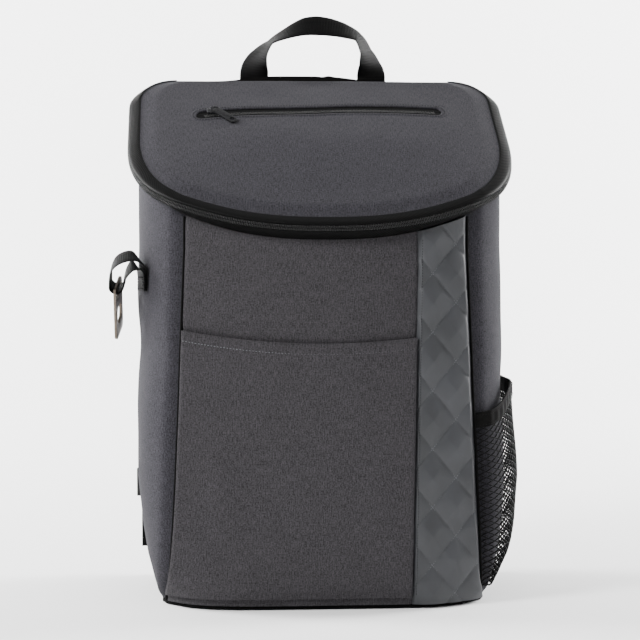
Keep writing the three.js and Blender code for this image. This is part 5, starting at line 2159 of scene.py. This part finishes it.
    def build(self) -> list[Piece]:
        """Builds both straps and the yoke."""
        made = [self.yoke()]
        for side in Side:
            made += [self.pad(side), *self.hardware(side)]
        return made


def unit(x: float, y: float, z: float) -> Array:
    """A direction of length one."""
    way = np.array([x, y, z], float)
    return way / np.linalg.norm(way)


# Studio


@dataclass(frozen=True)
class Studio:
    """The pale floor, the soft lights and the camera of the photograph's view."""

    distance: float = 1693.5
    aside: float = -118.4
    eye: float = 314
    pitch: float = 2.83
    lens: float = 113.0
    paper: str = "#f4f4f4"
    surround: float = 0.6
    reach: float = 3000.0
    bend: float = 900.0
    tall: float = 2600.0
    half_wide: float = 4200.0

    # The soft lights: name, place, size, watts and aim. Two stand behind the bag and light the paper.
    lights: tuple[tuple[str, Place, float, float, Place], ...] = (
        ("key", (-1500, -1050, 1350), 600, 66, (0, 0, 250)),
        ("fill", (1500, -1300, 700), 1200, 8, (0, 0, 250)),
        ("backdrop left", (-2600, 900, 1500), 1600, 350, (-300, 2900, 500)),
        ("backdrop right", (2600, 900, 1500), 1600, 350, (300, 2900, 500)),
    )

    def floor(self) -> None:
        """A wide pale floor that rises behind the bag in one sweep."""
        flat, bend = self.reach - self.bend, self.bend
        profile = [(-self.reach, 0.0), (flat, 0.0)]
        turn = np.linspace(0, math.pi / 2, 24)
        profile += [(flat + bend * math.sin(a), bend - bend * math.cos(a)) for a in turn[1:]]
        profile.append((self.reach, self.tall))
        points = [(x, y, z - 0.6) for y, z in profile for x in (-self.half_wide, self.half_wide)]
        faces = [(2 * k, 2 * k + 1, 2 * k + 3, 2 * k + 2) for k in range(len(profile) - 1)]
        sweep = mesh_from("studio_paper", points, faces)
        paper = Finish("seamless_studio_paper", self.paper, 0.95)
        sweep.data.materials.append(paper.material())

    def light(self, name: str, place: Place, size: float, watts: float, aim: Place) -> None:
        """A soft square light that looks at a place.

        Args:
            name: The light's name.
            place: Where it stands.
            size: Its side.
            watts: Its power.
            aim: Where it looks.
        """
        lamp = bpy.data.lights.new(name, "AREA")
        lamp.shape = "SQUARE"
        lamp.size = size * MM
        lamp.energy = watts
        holder = bpy.data.objects.new(name, lamp)
        bpy.context.scene.collection.objects.link(holder)
        holder.location = Vector(place) * MM
        way = Vector(aim) * MM - holder.location
        holder.rotation_euler = way.to_track_quat("-Z", "Y").to_euler()

    def camera(self) -> None:
        """The camera, a little to the left of the bag's front."""
        data = bpy.data.cameras.new("camera")
        data.lens = self.lens
        data.sensor_width = 36
        data.dof.use_dof = False
        holder = bpy.data.objects.new("camera", data)
        bpy.context.scene.collection.objects.link(holder)
        holder.location = Vector((self.aside, -self.distance, self.eye)) * MM
        azimuth = math.atan2(self.aside, self.distance)
        holder.rotation_euler = (math.radians(90 - self.pitch), 0, azimuth)
        bpy.context.scene.camera = holder

    def world(self) -> None:
        """Even white surroundings."""
        world = bpy.data.worlds.new("studio")
        world.use_nodes = True
        shade = world.node_tree.nodes["Background"]
        shade.inputs["Color"].default_value = linear("#ffffff")
        shade.inputs["Strength"].default_value = self.surround
        bpy.context.scene.world = world

    def build(self) -> None:
        """Sets up the studio."""
        self.floor()
        for row in self.lights:
            self.light(*row)
        self.camera()
        self.world()


def main() -> None:
    """Builds every piece in order and reports what was made."""
    logging.basicConfig(level=logging.INFO, format="%(name)s: %(message)s")
    stitching, coil, threads = Stitching(), ZipCoil(), Threads()
    made = FrontWalls(stitching).build(threads)
    made.append(SideWall(Side.LEFT, dent_at=0.48, dent_depth=0.5, dent_spread=0.05).build())
    made.append(SideWall(Side.RIGHT, dent_at=0.39, dent_depth=0.45, dent_spread=0.06).build())
    made += BackAndBase().build()
    lid = LidTop(stitching)
    made += lid.build() + MainZip(coil).build() + PocketZip(lid, coil).build()
    made += [CarryHandle().build(), *SideLoop().build(stitching)]
    net = NetPocket(threads)
    made += [net.net(), net.binding(), net.stitches(stitching)]
    made += ShoulderStraps(threads, stitching).build()
    for piece in made:
        LOG.info("%s: %d faces", piece.name, len(piece.data.polygons))
    Studio().build()


if __name__ == "__main__":
    main()
